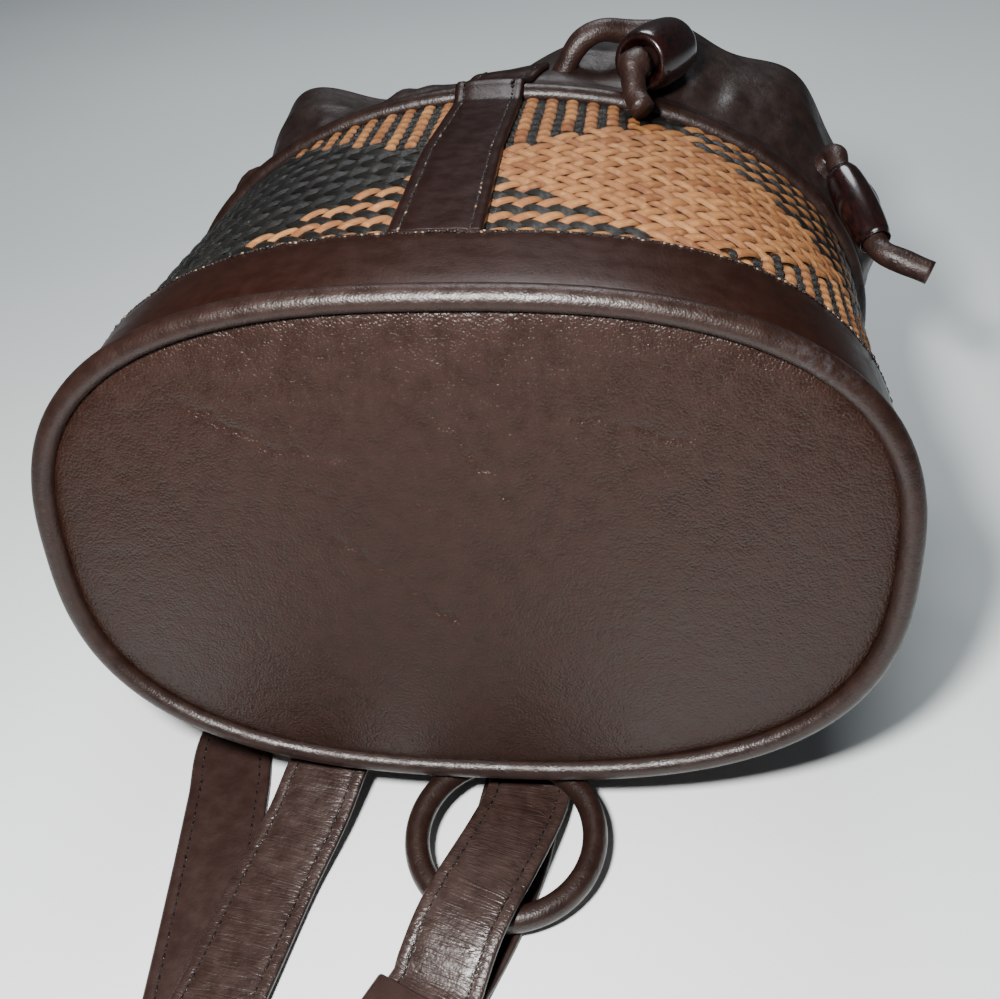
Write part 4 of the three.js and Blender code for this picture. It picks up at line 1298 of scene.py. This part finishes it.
class BACKPACK_OT_straps(Operator):
    """Builds the two folded straps with their keepers and the ring"""

    bl_idname = "backpack.straps"
    bl_label = "Straps and ring"

    def execute(self, context):
        pitch = context.scene.backpack.stitch_pitch
        profile = strap_profile()
        sides = len(profile)
        for name, route, seed in (
            ("left", strap_route(LEFT_OUT, LEFT_KEEPER, LEFT_FAR, LEFT_BACK), 41),
            ("right", strap_route(RIGHT_OUT, RIGHT_KEEPER, RIGHT_FAR, RIGHT_BACK), 47),
        ):
            track = Track(spline(route, 2.5 * MM)).level()
            mesh = along_track(f"strap_{name}_leather", track, profile, 0.4)
            uv = mesh.uv_layers[0].data
            for polygon in mesh.polygons:
                middle = sum(uv[i].uv[1] for i in polygon.loop_indices) / len(polygon.loop_indices)
                place = middle * sides
                front, back = place < 12, 14 < place < sides - 3
                polygon.material_index = 0 if front else 1 if back else 2
            for loop in uv:
                loop.uv = (loop.uv[0], loop.uv[1] * 0.06)
            link(
                f"strap_{name}_leather",
                mesh,
                [material("crinkled"), material("strap"), material("edge")],
                [f"strap_{name}"],
            )
            distance = np.arange(0.004, track.length[-1] - 0.004, pitch)
            points, headings, across, up = track.at(distance)
            rows = []
            for side in (-1, 1):
                for face in (-1, 1):
                    offset = across * side * (STRAP_WIDTH / 2 - 3.8) * MM
                    lift = up * face * (STRAP_THICKNESS / 2 - 0.2) * MM
                    line = points + offset + lift
                    rows += stitch_rows(line, headings, up * face, 2.4, 0.36, 0.42, seed + side)
            threads = [material("thread"), material("thread"), material("hole")]
            stitches(f"strap_{name}_stitches", rows, threads)
        for name, (x, y, turned) in (("left", LEFT_KEEPER), ("right", RIGHT_KEEPER)):
            self.keeper(name, x, y, turned)
        self.ring()
        return {"FINISHED"}

    def keeper(self, name, x, y, turned):
        """A sleeve of leather round both layers of a strap."""
        half = STRAP_WIDTH / 2 + GAP + 0.4
        low, high = KEEPER_WALL, KEPT_UPPER + STRAP_THICKNESS / 2 + GAP
        wall, soft = KEEPER_WALL, 1.2
        centre = (low + high) / 2
        tall = (high - low) / 2

        def rounded(grow, radius, steps=5):
            corners = []
            for cx, cz, first in ((1, 1, 0), (-1, 1, 90), (-1, -1, 180), (1, -1, 270)):
                for k in range(steps):
                    a = math.radians(first + 90 * k / (steps - 1))
                    ox = cx * (half + grow - radius) + radius * math.cos(a)
                    oz = cz * (tall + grow - radius) + radius * math.sin(a)
                    corners.append((ox, centre + oz))
            return corners

        outer, inner = rounded(wall, soft + 0.6), rounded(0.05, soft)
        length = KEEPER_LENGTH / 2
        ends = [(-1, 0.15), (-0.96, 0.0), (0.96, 0.0), (1, 0.15)]

        def shape(u, v):
            at = np.mod(u, 1)
            out = profile_at(outer, at)
            into = profile_at(inner, at)
            rows = [(e, s) for e, s in ends] + [(e, 1 - s) for e, s in reversed(ends)]
            place, share = profile_at(rows, v).T
            ring = out + (into - out) * share[:, None]
            along = place * length
            c, s = math.cos(turned), math.sin(turned)
            px = ring[:, 0] * c + along * s
            py = ring[:, 0] * s - along * c
            return on_ground(np.stack([px + x, py + y, ring[:, 1]], -1))

        mesh = grid_mesh(f"keeper_{name}_leather", 40, 8, shape, (0.07, 0.05))
        link(f"keeper_{name}_leather", mesh, [material("strap")], [f"keeper_{name}"])

    def ring(self):
        """A leather-covered ring, made by spinning its section."""
        bm = bmesh.new()
        section = bmesh.ops.create_circle(bm, segments=20, radius=RING_TUBE * MM)["verts"]
        bmesh.ops.rotate(bm, verts=section, cent=(0, 0, 0), matrix=Matrix.Rotation(math.pi / 2, 3, "X"))
        bmesh.ops.translate(bm, verts=section, vec=(RING_RADIUS * MM, 0, 0))
        bmesh.ops.spin(
            bm,
            geom=section + list(bm.edges),
            cent=(0, 0, 0),
            axis=(0, 0, 1),
            angle=2 * math.pi,
            steps=96,
            use_merge=True,
        )
        height = STRAP_THICKNESS + GAP + RING_TUBE + RING_RADIUS * math.sin(RING_TILT)
        place = on_ground([(*RING_PLACE, height)])[0]
        matrix = Matrix.Translation(Vector(place)) @ Matrix.Rotation(RING_TILT, 4, "X")
        bmesh.ops.transform(bm, matrix=matrix, verts=bm.verts)
        bmesh.ops.recalc_face_normals(bm, faces=bm.faces)
        for face in bm.faces:
            face.smooth = True
        mesh = bpy.data.meshes.new("ring_leather")
        bm.to_mesh(mesh)
        bm.free()
        link("ring_leather", mesh, [material("piping")], ["carry_ring"])


# Stage


CAMERA_PLACE = (48.76, -236.04, 298.46)
CAMERA_PITCH = math.radians(36.104)
CAMERA_YAW = math.radians(-8.668)
CAMERA_ROLL = math.radians(-4.292)
CAMERA_LENS = 41.2

# Lights: name, place, what it points at, size in metres, power and colour
LIGHTS = (
    ("key", (-0.037, -0.204, 0.37), (0.0, 0.08, 0.06), 0.05, 4.9, (1.0, 0.985, 0.96)),
    ("fill", (0.0, 0.75, 1.2), (0.0, 0.5, 0.0), 0.6, 9.5, (0.93, 0.97, 1.0)),
)
FLOOR_HALF_SIZE = 4
FLOOR_DROP = 0.0002


class BACKPACK_OT_camera(Operator):
    """Places the camera at the photo's angle"""

    bl_idname = "backpack.camera"
    bl_label = "Camera"

    def execute(self, context):
        pitch, yaw, roll = CAMERA_PITCH, CAMERA_YAW, CAMERA_ROLL
        ahead = Vector(
            (math.sin(yaw) * math.cos(pitch), math.cos(yaw) * math.cos(pitch), -math.sin(pitch))
        )
        level = Vector((math.cos(yaw), -math.sin(yaw), 0))
        above = level.cross(ahead)
        right = level * math.cos(roll) + above * math.sin(roll)
        up = above * math.cos(roll) - level * math.sin(roll)
        matrix = Matrix((right, up, -ahead)).transposed().to_4x4()
        matrix.translation = Vector(on_ground([CAMERA_PLACE])[0])
        data = bpy.data.cameras.new("camera")
        data.lens = CAMERA_LENS
        data.clip_start = 0.01
        camera = bpy.data.objects.new("camera", data)
        camera.matrix_world = matrix
        context.scene.collection.objects.link(camera)
        context.scene.camera = camera
        return {"FINISHED"}


def area_light(name, place, target, size, power, colour):
    data = bpy.data.lights.new(name, "AREA")
    data.shape = "DISK"
    data.size = size
    data.energy = power
    data.color = colour
    light = bpy.data.objects.new(name, data)
    turned = (Vector(target) - Vector(place)).to_track_quat("-Z", "Y")
    light.matrix_world = Matrix.Translation(place) @ turned.to_matrix().to_4x4()
    bpy.context.scene.collection.objects.link(light)


class BACKPACK_OT_stage(Operator):
    """Builds the pale floor and the soft lights"""

    bl_idname = "backpack.stage"
    bl_label = "Stage"

    def execute(self, context):
        mesh = bpy.data.meshes.new("floor")
        bm = bmesh.new()
        bmesh.ops.create_grid(bm, x_segments=4, y_segments=4, size=FLOOR_HALF_SIZE)
        bmesh.ops.translate(bm, verts=bm.verts, vec=(0, 0, -FLOOR_DROP))
        bm.to_mesh(mesh)
        bm.free()
        floor = bpy.data.objects.new("floor", mesh)
        context.scene.collection.objects.link(floor)
        n = Nodes("pale floor")
        where = n.add("ShaderNodeTexCoord").outputs["Object"]
        soft = n.noise(where, 3, 2, 0.5)
        tint = n.mix(n.ramp(soft, 0.3, 0.7), srgb(232, 238, 239), srgb(240, 245, 245))
        mesh.materials.append(n.set(Base_Color=tint, Roughness=0.9))
        for light in LIGHTS:
            area_light(*light)
        world = bpy.data.worlds.new("studio")
        world.use_nodes = True
        sky = world.node_tree.nodes["Background"]
        sky.inputs[0].default_value = (0.86, 0.93, 1.0, 1)
        sky.inputs[1].default_value = 0.06
        context.scene.world = world
        return {"FINISHED"}


class BACKPACK_PT_sidebar(Panel):
    """Lists the steps and the settings"""

    bl_idname = "BACKPACK_PT_sidebar"
    bl_label = "Straw backpack"
    bl_space_type = "VIEW_3D"
    bl_region_type = "UI"
    bl_category = "Backpack"

    def draw(self, context):
        for name in BackpackSettings.__annotations__:
            self.layout.prop(context.scene.backpack, name)
        for operator in OPERATORS:
            self.layout.operator(operator.bl_idname)


OPERATORS = (
    BACKPACK_OT_camera,
    BACKPACK_OT_cords,
    BACKPACK_OT_body,
    BACKPACK_OT_straw,
    BACKPACK_OT_front_strip,
    BACKPACK_OT_collar,
    BACKPACK_OT_straps,
    BACKPACK_OT_stage,
)
CLASSES = (BackpackSettings, *OPERATORS, BACKPACK_PT_sidebar)


def register():
    for cls in CLASSES:
        bpy.utils.register_class(cls)
    bpy.types.Scene.backpack = PointerProperty(type=BackpackSettings)


def unregister():
    del bpy.types.Scene.backpack
    for cls in reversed(CLASSES):
        bpy.utils.unregister_class(cls)


def main():
    register()
    for operator in OPERATORS:
        group, _, name = operator.bl_idname.partition(".")
        getattr(getattr(bpy.ops, group), name)()


if __name__ == "__main__":
    main()
